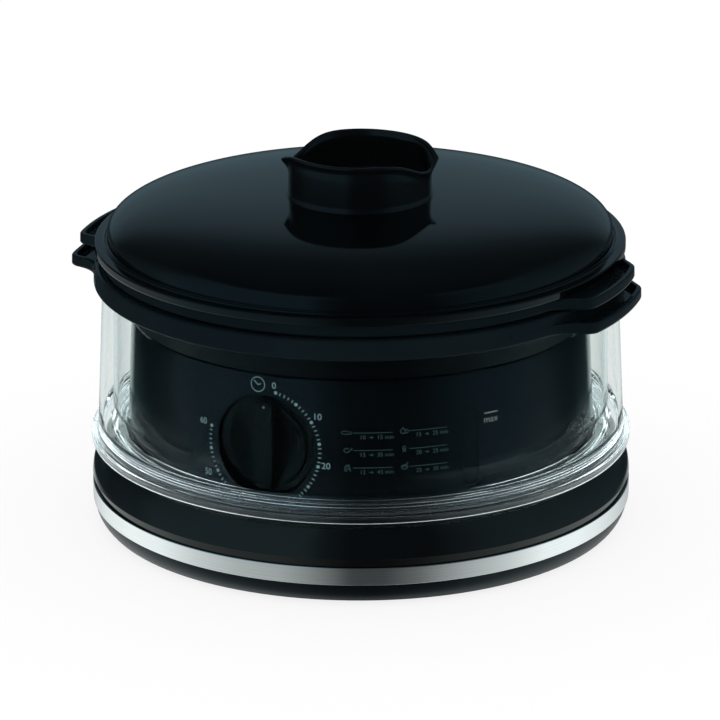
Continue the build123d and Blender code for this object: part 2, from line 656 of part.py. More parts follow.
def heater_screws():
    screws = []
    for x, y, _ in heater_screw_places():
        head = post(2 * EAR_SCREW_R, HEATER_PLATE_Z0 - EAR_SCREW_HEAD_H, HEATER_PLATE_Z0, x, y)
        screws.append(head + post(EAR_SCREW_R - FIT, HEATER_PLATE_Z0, TANK_INSIDE_Z + HEATER_SCREW_IN, x, y))
    return screws


def thermostat():
    bottom = HEATER_PLATE_Z0 - THERMOSTAT_H
    body = post(THERMOSTAT_R, bottom, HEATER_PLATE_Z0, 0, THERMOSTAT_Y)
    for side in (-1, 1):
        x = side * BLADE_X
        body = body + block(x - BLADE_W / 2, x + BLADE_W / 2, THERMOSTAT_Y - BLADE_T / 2,
                            THERMOSTAT_Y + BLADE_T / 2, bottom - BLADE_L, bottom)
    return body


def thermal_fuse():
    place = Plane((-FUSE_L / 2, FUSE_Y, HEATER_PLATE_Z0 - FUSE_R - SEAT), x_dir=(0, 1, 0), z_dir=(1, 0, 0))
    return place * Cylinder(FUSE_R, FUSE_L, align=(Align.CENTER, Align.CENTER, Align.MIN))


def turbo_ring():
    z0 = TANK_INSIDE_Z + SEAT
    top = z0 + TURBO_H
    in_r = TURBO_R - TURBO_T
    ring = turned((in_r, z0), (TURBO_R, z0), (TURBO_R, top), (TURBO_R - TURBO_TOP_W, top),
                  (TURBO_R - TURBO_TOP_W, top - TURBO_T), (in_r, top - TURBO_T))
    for _, _, angle in around(TURBO_ARCHES, TURBO_R):
        ring = ring - facing(angle) * rod_y(TURBO_ARCH_R, -TURBO_R, -in_r + TURBO_T, 0, z0)
    return ring


# ---- wiring ----------------------------------------------------------------
def terminal_block():
    half = TERMINAL_W / 2
    top = COVER_TOP + TERMINAL_H
    body = block(-half, half, TERMINAL_Y - TERMINAL_D / 2, TERMINAL_Y + TERMINAL_D / 2, COVER_TOP, top)
    for i in (-1, 0, 1):
        body = body - post(TERMINAL_WELL_R, top - TERMINAL_WELL_D, top, i * TERMINAL_W / 3,
                           TERMINAL_Y + TERMINAL_WELL_Y)
    return body


def wire(*points):
    path = FilletPolyline(*points, radius=WIRE_BEND)
    start = Vector(*points[0])
    heading = Vector(*points[1]) - start
    return sweep(Plane(start, z_dir=heading) * Circle(WIRE_R), path)


def internal_wires():
    top = COVER_TOP + TERMINAL_H + FIT
    blade_z = HEATER_PLATE_Z0 - THERMOSTAT_H - BLADE_L
    leg_x, leg_y = list(leg_places())[1]
    leg_z = HEATER_PLATE_Z0 - LEG_DROP
    timer_y = -(PANEL_BACK + TIMER_BACK) / 2
    timer_z = DIAL_Z - TIMER_W / 2
    y = TERMINAL_Y + WIRE_Y
    low = top + WIRE_STEP
    lane = low + WIRE_STEP
    high = lane + WIRE_STEP
    side = TERMINAL_W / 3
    to_timer = wire((0, y, top), (0, y, low), (0, timer_y, low), (0, timer_y, timer_z - FIT))
    to_thermostat = wire((-side, y, top), (-side, y, lane), (-BLADE_X, THERMOSTAT_Y, lane),
                         (-BLADE_X, THERMOSTAT_Y, blade_z - FIT))
    to_element = wire((side, y, top), (side, y, high), (leg_x, leg_y, high), (leg_x, leg_y, leg_z - FIT))
    return [to_thermostat, to_element, to_timer]


# ---- juice tray and grids --------------------------------------------------
def tray_floor():
    return tube(TRAY_IN_R, CHIMNEY_R, TRAY_FLOOR_Z, TRAY_FLOOR_TOP)


def tray_wall():
    return tube(TRAY_R, TRAY_IN_R, TRAY_Z0, TRAY_TOP)


def tray_chimney():
    return tube(CHIMNEY_R, CHIMNEY_R - TRAY_T, TRAY_FLOOR_Z, TRAY_TOP)


def grid(z):
    """A bowl's lift-out floor: a thin disc with a rim and rings of drain holes."""
    rim_in = GRID_R - GRID_RIM_T
    disc = turned((0, z), (GRID_R, z), (GRID_R, z + GRID_H), (rim_in, z + GRID_H), (rim_in, z + GRID_T),
                  (0, z + GRID_T))
    holes = [post(GRID_HOLE_R, z, z + GRID_T)]
    for ring in range(1, int((rim_in - 2 * GRID_HOLE_R) / GRID_PITCH) + 1):
        places = around(6 * ring, ring * GRID_PITCH, ring * GRID_TWIST)
        holes += [post(GRID_HOLE_R, z, z + GRID_T, x, y) for x, y, _ in places]
    return disc - holes


# ---- bowls -----------------------------------------------------------------
def bowl_1_foot():
    """The outer bowl's flared foot, with the ledge that a grid rests on and the ring it stands on."""
    lip_in = BASE_R - LIP_T
    wall_in = BOWL_R - WALL_T
    ring_in = FOOT_RING_R - FOOT_RING_T
    ring_z = SKIRT_TOP + SEAT
    under_z = LEDGE_Z - LEDGE_T
    return turned(
        (ring_in, ring_z), (FOOT_RING_R, ring_z), (FOOT_RING_R, under_z), (wall_in, under_z),
        (lip_in, FLARE_SHOULDER_Z - LEDGE_T / 2), (lip_in, LIP_Z), (BASE_R, LIP_Z),
        (BASE_R, FLARE_SHOULDER_Z - LIP_BEVEL), (BASE_R - LIP_BEVEL, FLARE_SHOULDER_Z),
        (BOWL_R + LIP_BEVEL, FLARE_Z - FLARE_BLEND), (BOWL_R, FLARE_Z), (wall_in, FLARE_Z),
        (wall_in, LEDGE_Z), (LEDGE_R, LEDGE_Z), (LEDGE_R, under_z), (ring_in, under_z))


def bowl_1_wall():
    top = RIM_TOP - RIM_PLATE_T - WALL_GRIP
    return turned((BOWL_R, FLARE_Z), (wall_radius(top), top), (wall_radius(top) - WALL_T, top),
                  (BOWL_R - WALL_T, FLARE_Z))


def bowl_2_foot():
    """The inner bowl's ledge for a grid, with the bead that centres it in the outer bowl."""
    under_z = INNER_LEDGE_Z - LEDGE_T
    bead_in = INNER_BEAD_R - 2 * INNER_T
    return turned(
        (bead_in, under_z - INNER_BEAD_H), (INNER_BEAD_R, under_z - INNER_BEAD_H), (INNER_BEAD_R, under_z),
        (INNER_R, INNER_LEDGE_Z), (LEDGE_R, INNER_LEDGE_Z), (LEDGE_R, under_z), (bead_in, under_z))


def bowl_2_wall():
    top = UPPER_RIM_TOP - UPPER_PLATE_T - WALL_GRIP
    return turned((INNER_R, INNER_LEDGE_Z), (inner_radius(top), top), (inner_radius(top) - INNER_T, top),
                  (INNER_R - INNER_T, INNER_LEDGE_Z))


def handle_plan(length, front_w, rear_w, rim_r):
    """The rim's disc with one handle on +X: bowed edge, square front corner, sloping rear side."""
    reach = rim_r + length
    tip = reach - HANDLE_BOW
    front_root = front_w + FRONT_SPLAY * tip / 2
    rear_root = rear_w + REAR_SPLAY * tip / 2
    body = make_face(Polyline((tip / 2, -front_root), (tip, -front_w), (tip, rear_w), (tip / 2, rear_root),
                              close=True))
    body = fillet(body.vertices().sort_by(Axis.X)[-2:].sort_by(Axis.Y)[0], FRONT_CORNER)
    body = fillet(body.vertices().sort_by(Axis.X)[-2:].sort_by(Axis.Y)[1], REAR_CORNER)
    front = (tip, FRONT_CORNER - front_w)
    rear = (tip, rear_w - REAR_CORNER / 2)
    bow = make_face([Line(rear, front), ThreePointArc(front, (reach, (front[1] + rear[1]) / 2), rear)])
    plan = body + bow + Circle(rim_r)
    plan = fillet(plan.vertices().sort_by(Axis.Y)[0], FRONT_ROOT_R)
    return fillet(plan.vertices().sort_by(Axis.Y)[-1], REAR_ROOT_R)


def handle(plan, rim_r, z0):
    """One dished handle on +X: a floor with a raised lip round its free edge."""
    tray = Pos(0, 0, z0) * extrude(plan, HANDLE_T)
    dish = Pos(0, 0, z0 + HANDLE_FLOOR_T) * extrude(offset(plan, -HANDLE_LIP), HANDLE_T)
    return tray - dish - post(rim_r - HANDLE_OVERLAP, z0, z0 + HANDLE_T)


def rim_with_handles(ring, plan, rim_r, z0):
    one = handle(plan, rim_r, z0)
    return ring + one + mirror(one, Plane.YZ)


def bowl_1_rim():
    slot_z = RIM_TOP - RIM_PLATE_T
    slot_out = wall_radius(RIM_Z0) + WALL_GRIP
    rim_in = wall_radius(slot_z) - WALL_T
    ring = turned((slot_out, RIM_Z0), (RIM_R, RIM_Z0), (RIM_R, RIM_TOP - RIM_EDGE), (RIM_R - RIM_EDGE, RIM_TOP),
                  (rim_in, RIM_TOP), (rim_in, slot_z), (slot_out, slot_z))
    return rim_with_handles(ring, handle_plan(HANDLE_L, HANDLE_FRONT_W, HANDLE_REAR_W, RIM_R), RIM_R, RIM_Z0)


def bowl_2_rim():
    slot_z = UPPER_RIM_TOP - UPPER_PLATE_T
    slot_out = inner_radius(UPPER_RIM_Z0) + WALL_GRIP
    rib_z = RIM_TOP + SEAT
    rib_r = UPPER_RIM_R - STACK_RIB_W
    ring = turned((slot_out, UPPER_RIM_Z0), (rib_r - STACK_RIB_W, UPPER_RIM_Z0), (rib_r - STACK_RIB_W, rib_z),
                  (rib_r, rib_z), (rib_r, UPPER_RIM_Z0), (UPPER_RIM_R, UPPER_RIM_Z0),
                  (UPPER_RIM_R, UPPER_RIM_TOP - RIM_EDGE), (UPPER_RIM_R - RIM_EDGE, UPPER_RIM_TOP),
                  (UPPER_RIM_IN_R, UPPER_RIM_TOP), (UPPER_RIM_IN_R, slot_z), (slot_out, slot_z))
    front_w = HANDLE_FRONT_W - UPPER_NARROWER
    plan = handle_plan(UPPER_HANDLE_L, front_w, HANDLE_REAR_W - UPPER_REAR_STEP, UPPER_RIM_R)
    return rim_with_handles(ring, plan, UPPER_RIM_R, UPPER_RIM_Z0)


# ---- lid -------------------------------------------------------------------
def steam_slots(z0, z1):
    slots = []
    for x, y, angle in around(STEAM_SLOTS, STEAM_CIRCLE):
        slot = extrude(SlotOverall(STEAM_SLOT_L, STEAM_SLOT_W), z1 - z0)
        slots.append(Pos(x, y, z0) * Rot(0, 0, angle + 90) * slot)
    return slots


def lid():
    in_r = DOME_R - LID_T
    top_in = DOME_TOP - LID_T
    shoulder_z = RIDGE_Z - RIDGE_W / 2
    lip_in = LID_R - LID_LIP_T
    edges = [
        Bezier((0, DOME_TOP), (DOME_FULL_R, DOME_TOP), (DOME_R, DOME_FULL_Z), (DOME_R, DOME_EDGE_Z)),
        Polyline((DOME_R, DOME_EDGE_Z), (DOME_R, shoulder_z), (RIDGE_R - RIDGE_W / 2, shoulder_z),
                 (RIDGE_R, RIDGE_Z), (RIDGE_R + RIDGE_W / 2, shoulder_z), (LID_R - LID_EDGE, LID_FLANGE_Z),
                 (LID_R, LID_FLANGE_Z - LID_EDGE), (LID_R, LID_LIP_Z), (lip_in, LID_LIP_Z),
                 (lip_in, LID_SEAT_Z), (PLUG_R, LID_SEAT_Z), (PLUG_R, PLUG_Z), (PLUG_R - PLUG_T, PLUG_Z),
                 (PLUG_R - PLUG_T, LID_SEAT_Z + PLUG_BLEND), (in_r, DOME_EDGE_Z)),
        Bezier((in_r, DOME_EDGE_Z), (in_r, DOME_FULL_Z - LID_T), (DOME_FULL_R - LID_T, top_in), (0, top_in)),
        Line((0, top_in), (0, DOME_TOP)),
    ]
    shell = turned(*edges)
    shell = shell - post(CUP_R + FIT, CUP_Z0, DOME_TOP)
    shell = shell - post(CUP_SCREW_R + BOLT_PLAY, top_in - LID_T, DOME_TOP)
    return shell - steam_slots(top_in - LID_T, DOME_TOP)


def cup_beak():
    """The pointed run-out of the cup's lip, built on the front."""
    half = math.radians(CUP_BEAK_HALF)
    root_x = CUP_R * math.sin(half)
    root_y = -CUP_R * math.cos(half)
    outline = Polyline((-root_x, root_y + CUP_T), (-root_x, root_y), (0, -CUP_R - CUP_BEAK_OUT),
                       (root_x, root_y), (root_x, root_y + CUP_T), close=True)
    plan = make_face(outline) - Circle(CUP_R - CUP_T / 2)
    return Pos(0, 0, CUP_TOP - CUP_BEAK_DROP) * extrude(plan, CUP_BEAK_H)


def lid_handle():
    """An open cup with a flared lip that dips twice and runs out to two beaks."""
    floor_top = CUP_Z0 + CUP_FLOOR_T
    flare_z = CUP_TOP - CUP_FLARE_H
    cup = turned((0, CUP_Z0), (CUP_R, CUP_Z0), (CUP_R, flare_z), (CUP_R + CUP_FLARE, CUP_TOP),
                 (CUP_R + CUP_FLARE - CUP_T, CUP_TOP), (CUP_R - CUP_T, flare_z),
                 (CUP_R - CUP_T, floor_top), (0, floor_top))
    dip = rod_y(CUP_DIP_R, -CUP_R - CUP_DIP, 0, 0, CUP_TOP - CUP_DIP + CUP_DIP_R)
    for turn in (0, 180):
        cup = cup - facing(CUP_DIP_AZ + turn) * dip
    for turn in (0, 180):
        cup = cup + facing(CUP_BEAK_AZ + turn) * cup_beak()
    cup = cup + post(CUP_BOSS_R, CUP_Z0, CUP_Z0 + CUP_BOSS_H)
    cup = cup - post(CUP_SCREW_R, CUP_Z0, CUP_Z0 + CUP_BOSS_H - CUP_BOSS_ROOF)
    return cup - steam_slots(CUP_Z0, floor_top)


def lid_handle_screw():
    under = DOME_TOP - LID_T - FIT
    head = post(CUP_SCREW_HEAD_R, under - CUP_SCREW_HEAD_H, under)
    return head + post(CUP_SCREW_R - FIT, under, CUP_Z0 + CUP_SCREW_IN)


# ---- export ----------------------------------------------------------------
NODES = {
    "bottom_cover": bottom_cover,
    "feet": feet,
    "steel_band": steel_band,
    "base_skirt": base_skirt,
    "cover_screws": cover_screws,
    "cord_gland": cord_gland,
    "column_housing": column_housing,
    "dial_panel": dial_panel,
    "level_window": level_window,
    "timer_body": timer_body,
    "timer_screws": timer_screws,
    "timer_shaft": timer_shaft,
    "timer_knob": timer_knob,
    "tank_floor": tank_floor,
    "tank_wall": tank_wall,
    "tank_lip": tank_lip,
    "element_seal": element_seal,
    "heater_plate": heater_plate,
    "heating_element": heating_element,
    "heater_screws": heater_screws,
    "thermostat": thermostat,
    "thermal_fuse": thermal_fuse,
    "terminal_block": terminal_block,
    "internal_wires": internal_wires,
    "turbo_ring": turbo_ring,
    "tray_floor": tray_floor,
    "tray_wall": tray_wall,
    "tray_chimney": tray_chimney,
    "grid_1": lambda: grid(GRID_1_Z),
    "grid_2": lambda: grid(GRID_2_Z),
    "bowl_1_foot": bowl_1_foot,
    "bowl_1_wall": bowl_1_wall,
    "bowl_1_rim": bowl_1_rim,
    "bowl_2_foot": bowl_2_foot,
    "bowl_2_wall": bowl_2_wall,
    "bowl_2_rim": bowl_2_rim,
    "lid": lid,
    "lid_handle": lid_handle,
    "lid_handle_screw": lid_handle_screw,
}

os.makedirs("parts", exist_ok=True)
for node, build in NODES.items():
    shape = build()
    if isinstance(shape, list):
        shape = Compound(children=[piece.solid() for piece in shape])
    export_step(shape, f"parts/{node}.step")
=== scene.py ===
import json
import math

import bpy
from mathutils import Matrix, Vector


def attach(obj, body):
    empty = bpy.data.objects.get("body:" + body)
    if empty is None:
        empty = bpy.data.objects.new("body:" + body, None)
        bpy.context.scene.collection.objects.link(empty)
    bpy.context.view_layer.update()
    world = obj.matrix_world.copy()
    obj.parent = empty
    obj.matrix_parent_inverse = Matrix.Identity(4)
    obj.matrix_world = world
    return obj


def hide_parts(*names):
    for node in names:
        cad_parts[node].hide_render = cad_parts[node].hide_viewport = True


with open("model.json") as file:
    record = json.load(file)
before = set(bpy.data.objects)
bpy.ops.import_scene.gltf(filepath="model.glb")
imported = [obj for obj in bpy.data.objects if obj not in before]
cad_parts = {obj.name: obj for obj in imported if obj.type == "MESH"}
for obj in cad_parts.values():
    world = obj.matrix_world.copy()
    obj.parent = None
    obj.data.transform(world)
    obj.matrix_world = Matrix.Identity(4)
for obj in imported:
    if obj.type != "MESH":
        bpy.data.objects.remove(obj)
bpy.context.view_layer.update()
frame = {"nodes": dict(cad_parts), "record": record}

MM = 0.001
SEGMENTS = 224         # flats round a turned piece
AXIS_R = 1e-6          # a point nearer to the axis than this lies on it
SUPPORT = 0.3          # extra points this far beside a rounded corner keep the flats flat

# ---- camera ----------------------------------------------------------------
CAMERA_AZ = math.radians(23.7)
CAMERA_AT = Vector((0.8266, -1.8831, 0.7812))
CAMERA_TARGET = Vector((0, 0, 0.0759))
CAMERA_SIDE = -0.0003
CAMERA_ROLL = math.radians(-0.2)
CAMERA_LENS = 225.5

# ---- the object's main sizes, in millimetres -------------------------------
BASE_R = 130.0
BAND_Z0 = 10.8
BAND_Z1 = 19.3
SKIRT_Z0 = 23.2
SKIRT_TOP = 39.5
SHOULDER_R = 25.0
COLUMN_R = 112.7
COLUMN_DRAFT = 0.0465
DIAL_Z = 69.1
KNOB_FACE = 111.2
KNOB_BACK = 102.2
BOWL_R = 126.6
WALL_DRAFT = 0.0475
FLARE_Z = 51.0
LEDGE_R = 113.9
LEDGE_Z = 48.0
INNER_R = 119.3
INNER_DRAFT = 0.02
INNER_LEDGE_Z = 58.0
RIM_R = 127.6
RIM_Z0 = 118.8
RIM_TOP = 128.3
UPPER_RIM_R = 123.6
UPPER_RIM_Z0 = 129.2
UPPER_RIM_TOP = 137.5
HANDLE_T = 5.2
LID_R = 126.7
LID_SEAT_Z = 137.8
DOME_R = 120.5
DOME_TOP = 160.0
DOME_EDGE_Z = 143.2
CUP_R = 34.5
CUP_Z0 = 159.4
CUP_TOP = 182.3
CUP_TURN = 23.7        # degrees from the front to the middle of the cup's pattern
BEAK_BACK = 89.0       # degrees from there back to a beak, with the other beak opposite
DIP_AT = 164.0         # degrees from a beak to the lowest point of the lip
DIP = 7.7


# ---- outlines --------------------------------------------------------------
def rounded(points, closed=True, steps=6):
    """Turns (radius, height, fillet) corners into arcs. Points without a fillet stay as they are."""
    out = []
    count = len(points)
    for i, point in enumerate(points):
        here = Vector(point[:2])
        if len(point) < 3 or not point[2] or (not closed and i in (0, count - 1)):
            out.append(tuple(here))
            continue
        to_last = (Vector(points[i - 1][:2]) - here).normalized()
        to_next = (Vector(points[(i + 1) % count][:2]) - here).normalized()
        half = to_last.angle(to_next) / 2
        reach = point[2] / math.tan(half)
        centre = here + (to_last + to_next).normalized() * point[2] / math.sin(half)
        start = here + to_last * reach - centre
        turn = start.angle_signed(here + to_next * reach - centre)
        out.append(tuple(centre + start + to_last * SUPPORT))
        for step in range(steps + 1):
            out.append(tuple(centre + Matrix.Rotation(-turn * step / steps, 2) @ start))
        out.append(tuple(here + to_next * (reach + SUPPORT)))
    return out


def bezier(p0, p1, p2, p3, count=40):
    """Points on a cubic curve, both ends included."""
    out = []
    for i in range(count + 1):
        t = i / count
        weights = ((1 - t) ** 3, 3 * t * (1 - t) ** 2, 3 * t * t * (1 - t), t ** 3)
        out.append(tuple(sum(w * p[k] for w, p in zip(weights, (p0, p1, p2, p3))) for k in (0, 1)))
    return out


def arc(centre, radius, start, end, count):
    """Points on an arc, angles in degrees, both ends included."""
    angles = [math.radians(start + (end - start) * i / count) for i in range(count + 1)]
    return [(centre[0] + radius * math.cos(a), centre[1] + radius * math.sin(a)) for a in angles]


class Shape:
    """Collects the points and faces of one piece, in millimetres."""

    def __init__(self):
        self.points = []
        self.faces = []
        self.uvs = []

    def point(self, x, y, z):
        self.points.append((x, y, z))
        return len(self.points) - 1

    def face(self, corners, uvs=None):
        kept = [i for i, corner in enumerate(corners) if corner not in corners[:i]]
        if len(kept) > 2:
            self.faces.append([corners[i] for i in kept])
            self.uvs.append([uvs[i] if uvs else (0.0, 0.0) for i in kept])

    def skin(self, rows, closed_rows=False, closed_columns=False, lengths=None):
        """Joins rows of point numbers with quads."""
        row_pairs = list(zip(rows, rows[1:])) + ([(rows[-1], rows[0])] if closed_rows else [])
        width = len(rows[0])
        spans = width if closed_columns else width - 1
        for k, (low, high) in enumerate(row_pairs):
            v0, v1 = (lengths[k], lengths[k + 1]) if lengths else (k, k + 1)
            for i in range(spans):
                j = (i + 1) % width
                u0, u1 = i / spans, (i + 1) / spans
                self.face([low[i], low[j], high[j], high[i]], [(u0, v0), (u1, v0), (u1, v1), (u0, v1)])

    def lathe(self, outline, closed=True, segments=SEGMENTS, place=None):
        """Turns a (radius, height) outline about the upright axis, or about the axis of place."""
        area = sum(a[0] * b[1] - b[0] * a[1] for a, b in zip(outline, outline[1:] + outline[:1]))
        if area < 0:
            outline = outline[::-1]
        rows = []
        for radius, height in outline:
            if radius < AXIS_R:
                rows.append([self.put(place, 0, 0, height)] * segments)
                continue
            turns = [2 * math.pi * i / segments for i in range(segments)]
            rows.append([self.put(place, radius * math.cos(a), radius * math.sin(a), height) for a in turns])
        lengths = [0.0]
        for a, b in zip(outline, outline[1:] + outline[:1]):
            lengths.append(lengths[-1] + MM * math.hypot(b[0] - a[0], b[1] - a[1]))
        self.skin(rows, closed_rows=closed, closed_columns=True, lengths=lengths)

    def put(self, place, x, y, z):
        return self.point(*(place @ Vector((x, y, z)) if place else (x, y, z)))

    def piece(self, name, body, material, slot, replaces=(), sharp=38.0):
        """Makes the Blender object, which rides on a body and stands for the CAD nodes it replaces."""
        mesh = bpy.data.meshes.new(name)
        mesh.from_pydata([[c * MM for c in point] for point in self.points], [], self.faces)
        layer = mesh.uv_layers.new(name="UVMap")
        flat = [uv for face in self.uvs for uv in face]
        for loop, uv in zip(layer.data, flat):
            loop.uv = uv
        mesh.shade_smooth()
        mesh.set_sharp_from_angle(angle=math.radians(sharp))
        mesh.materials.append(material)
        made = bpy.data.objects.new(name, mesh)
        bpy.context.scene.collection.objects.link(made)
        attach(made, body)
        if replaces:
            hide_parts(*replaces)
        return made


# ---- materials -------------------------------------------------------------
class Nodes:
    """A short way to write a node tree."""

    def __init__(self, tree):
        self.tree = tree

    def add(self, kind, **settings):
        made = self.tree.nodes.new(kind)
        for key, value in settings.items():
            setattr(made, key, value)
        return made

    def link(self, value, socket):
        if isinstance(value, bpy.types.NodeSocket):
            self.tree.links.new(value, socket)
        else:
            socket.default_value = value

    def maths(self, operation, *values):
        made = self.add("ShaderNodeMath", operation=operation)
        for value, socket in zip(values, made.inputs):
            self.link(value, socket)
        return made.outputs[0]

    def ramp(self, value, low, high, out_low=0.0, out_high=1.0, smooth=True):
        made = self.add("ShaderNodeMapRange", interpolation_type="SMOOTHSTEP" if smooth else "LINEAR")
        for item, socket in zip((value, low, high, out_low, out_high), made.inputs):
            self.link(item, socket)
        return made.outputs[0]

    def mix(self, factor, a, b):
        made = self.add("ShaderNodeMix", data_type="RGBA")
        self.link(factor, made.inputs[0])
        self.link(a, made.inputs[6])
        self.link(b, made.inputs[7])
        return made.outputs[2]

    def noise(self, scale, detail=4.0, roughness=0.55, coordinates="Object", stretch=(1, 1, 1)):
        source = self.add("ShaderNodeTexCoord").outputs[coordinates]
        mapping = self.add("ShaderNodeMapping")
        self.link(source, mapping.inputs["Vector"])
        mapping.inputs["Scale"].default_value = stretch
        made = self.add("ShaderNodeTexNoise")
        self.link(mapping.outputs[0], made.inputs["Vector"])
        made.inputs["Scale"].default_value = scale
        made.inputs["Detail"].default_value = detail
        made.inputs["Roughness"].default_value = roughness
        return made.outputs["Fac"]

    def bump(self, height, strength, distance):
        made = self.add("ShaderNodeBump")
        made.inputs["Strength"].default_value = strength
        made.inputs["Distance"].default_value = distance
        self.link(height, made.inputs["Height"])
        return made.outputs[0]


def rgba(colour):
    return (*colour, 1.0)


def material(name):
    made = bpy.data.materials.new(name)
    made.use_nodes = True
    shader = made.node_tree.nodes["Principled BSDF"]
    return made, Nodes(made.node_tree), shader


def moulded(name, dark, light, roughness, spread, grain, bump, specular=0.5, sheen=None):
    """Moulded plastic: slow colour drift, fine grain in roughness and bump. The sheen tints reflections."""
    made, nodes, shader = material(name)
    drift = nodes.noise(18.0, detail=3.0)
    nodes.link(nodes.mix(nodes.ramp(drift, 0.35, 0.65), rgba(dark), rgba(light)), shader.inputs["Base Color"])
    fine = nodes.noise(grain, detail=5.0)
    smears = nodes.noise(46.0, detail=2.0)
    both = nodes.maths("ADD", nodes.maths("MULTIPLY", fine, 0.5), nodes.maths("MULTIPLY", smears, 0.5))
    low, high = roughness - spread, roughness + spread
    nodes.link(nodes.ramp(both, 0.3, 0.7, low, high, smooth=False), shader.inputs["Roughness"])
    nodes.link(nodes.bump(fine, bump, 0.00002), shader.inputs["Normal"])
    shader.inputs["Specular IOR Level"].default_value = specular
    shader.inputs["Specular Tint"].default_value = rgba(sheen or (1.0, 1.0, 1.0))
    return made


def metal(name, dark, light, roughness, spread, scale, stretch, bump, coordinates="UV"):
    """Metal with streaks that run one way."""
    made, nodes, shader = material(name)
    fine = nodes.noise(scale, detail=6.0, roughness=0.7, coordinates=coordinates, stretch=stretch)
    wide = nodes.noise(scale / 5, detail=3.0, coordinates=coordinates, stretch=stretch)
    both = nodes.maths("ADD", nodes.maths("MULTIPLY", fine, 0.6), nodes.maths("MULTIPLY", wide, 0.4))
    nodes.link(nodes.mix(nodes.ramp(both, 0.36, 0.64), rgba(dark), rgba(light)), shader.inputs["Base Color"])
    nodes.link(nodes.ramp(fine, 0.3, 0.7, roughness - spread, roughness + spread, smooth=False),
               shader.inputs["Roughness"])
    nodes.link(nodes.bump(both, bump, 0.00003), shader.inputs["Normal"])
    shader.inputs["Metallic"].default_value = 1.0
    return made


def clear_plastic(name, tint, ior, coat=0.0, haze=0.003):
    """Clear moulded plastic. Light on its way to a shadow goes straight through, so the shadow stays pale."""
    made, nodes, shader = material(name)
    flow = nodes.noise(9.0, detail=2.0)
    nodes.link(nodes.mix(nodes.ramp(flow, 0.3, 0.7), rgba(tint), rgba([c * 0.985 for c in tint])),
               shader.inputs["Base Color"])
    fine = nodes.noise(240.0, detail=3.0)
    nodes.link(nodes.ramp(fine, 0.3, 0.7, haze / 2, haze, smooth=False), shader.inputs["Roughness"])
    nodes.link(nodes.bump(flow, 0.03, 0.0002), shader.inputs["Normal"])
    shader.inputs["Transmission Weight"].default_value = 1.0
    shader.inputs["IOR"].default_value = ior
    shader.inputs["Coat Weight"].default_value = coat
    shader.inputs["Coat Roughness"].default_value = 0.0
    shader.inputs["Coat IOR"].default_value = 1.6
    through = nodes.add("ShaderNodeBsdfTransparent")
    through.inputs["Color"].default_value = rgba((0.93, 0.95, 0.94))
    shadow = nodes.add("ShaderNodeLightPath").outputs["Is Shadow Ray"]
    mixed = nodes.add("ShaderNodeMixShader")
    nodes.link(shadow, mixed.inputs[0])
    nodes.link(shader.outputs[0], mixed.inputs[1])
    nodes.link(through.outputs[0], mixed.inputs[2])
    nodes.link(mixed.outputs[0], made.node_tree.nodes["Material Output"].inputs["Surface"])
    return made


BLUE_SHEEN = (0.62, 0.86, 1.0)
LOOKS = {
    "black_gloss": moulded("black_gloss", (0.0011, 0.0014, 0.0016), (0.0018, 0.0022, 0.0025), 0.085, 0.025,
                           900.0, 0.05, sheen=(0.84, 0.92, 0.88)),
    "black_satin": moulded("black_satin", (0.0014, 0.0020, 0.0023), (0.0023, 0.0031, 0.0035), 0.3, 0.05,
                           2200.0, 0.2, specular=0.22, sheen=BLUE_SHEEN),
    "panel_plastic": moulded("panel_plastic", (0.0022, 0.0030, 0.0042), (0.0030, 0.0040, 0.0055), 0.12, 0.03,
                             1200.0, 0.04, specular=0.38, sheen=BLUE_SHEEN),
    "knob_plastic": moulded("knob_plastic", (0.0022, 0.0036, 0.0034), (0.0032, 0.0048, 0.0046), 0.24, 0.05,
                            2600.0, 0.12, specular=0.2, sheen=BLUE_SHEEN),
    "grey_plastic": moulded("grey_plastic", (0.20, 0.21, 0.22), (0.26, 0.27, 0.28), 0.45, 0.06, 1500.0, 0.2),
    "white_plastic": moulded("white_plastic", (0.66, 0.66, 0.63), (0.74, 0.74, 0.72), 0.42, 0.06,
                             1500.0, 0.2),
    "rubber": moulded("rubber", (0.022, 0.022, 0.022), (0.034, 0.034, 0.034), 0.7, 0.06, 1800.0, 0.5),
    "wire": moulded("wire", (0.38, 0.10, 0.04), (0.50, 0.14, 0.06), 0.5, 0.06, 1800.0, 0.2),
    "clear": clear_plastic("clear", (0.915, 0.938, 0.932), 1.05),
    "steel": metal("steel", (0.70, 0.72, 0.72), (0.82, 0.84, 0.84), 0.13, 0.04,
                   60.0, (0.35, 160.0, 1.0), 0.22),
    "plated": metal("plated", (0.48, 0.48, 0.45), (0.62, 0.62, 0.59), 0.24, 0.06,
                    300.0, (1, 1, 1), 0.1, coordinates="Object"),
    "screw_steel": metal("screw_steel", (0.44, 0.45, 0.45), (0.58, 0.59, 0.59), 0.3, 0.06,
                         500.0, (1, 1, 0.2), 0.2, coordinates="Object"),
}
LID_GLOSS = moulded("lid_gloss", (0.0009, 0.0012, 0.0013), (0.0014, 0.0018, 0.0020), 0.07, 0.02,
                    900.0, 0.03, specular=0.3, sheen=BLUE_SHEEN)
CUP_SATIN = moulded("cup_satin", (0.0020, 0.0026, 0.0028), (0.0030, 0.0036, 0.0040), 0.14, 0.03,
                    1400.0, 0.05, specular=0.3, sheen=BLUE_SHEEN)
THICK_CLEAR = clear_plastic("thick_clear", (0.925, 0.965, 0.985), 1.42, coat=0.25, haze=0.02)
FAINT_CLEAR = clear_plastic("faint_clear", (0.965, 0.980, 0.976), 1.008)
# Rims and handles: the same black plastic as black_gloss, painted lighter and bluer, with most of its
# reflection turned down. The blue-grey base colour is a painted reflection that stands in for the real one.
RIM_PAINTED_REFLECTION = moulded("rim_painted_reflection", (0.0040, 0.0074, 0.0094), (0.0050, 0.0088, 0.0108), 0.09, 0.025,
                    900.0, 0.05, specular=0.07, sheen=BLUE_SHEEN)
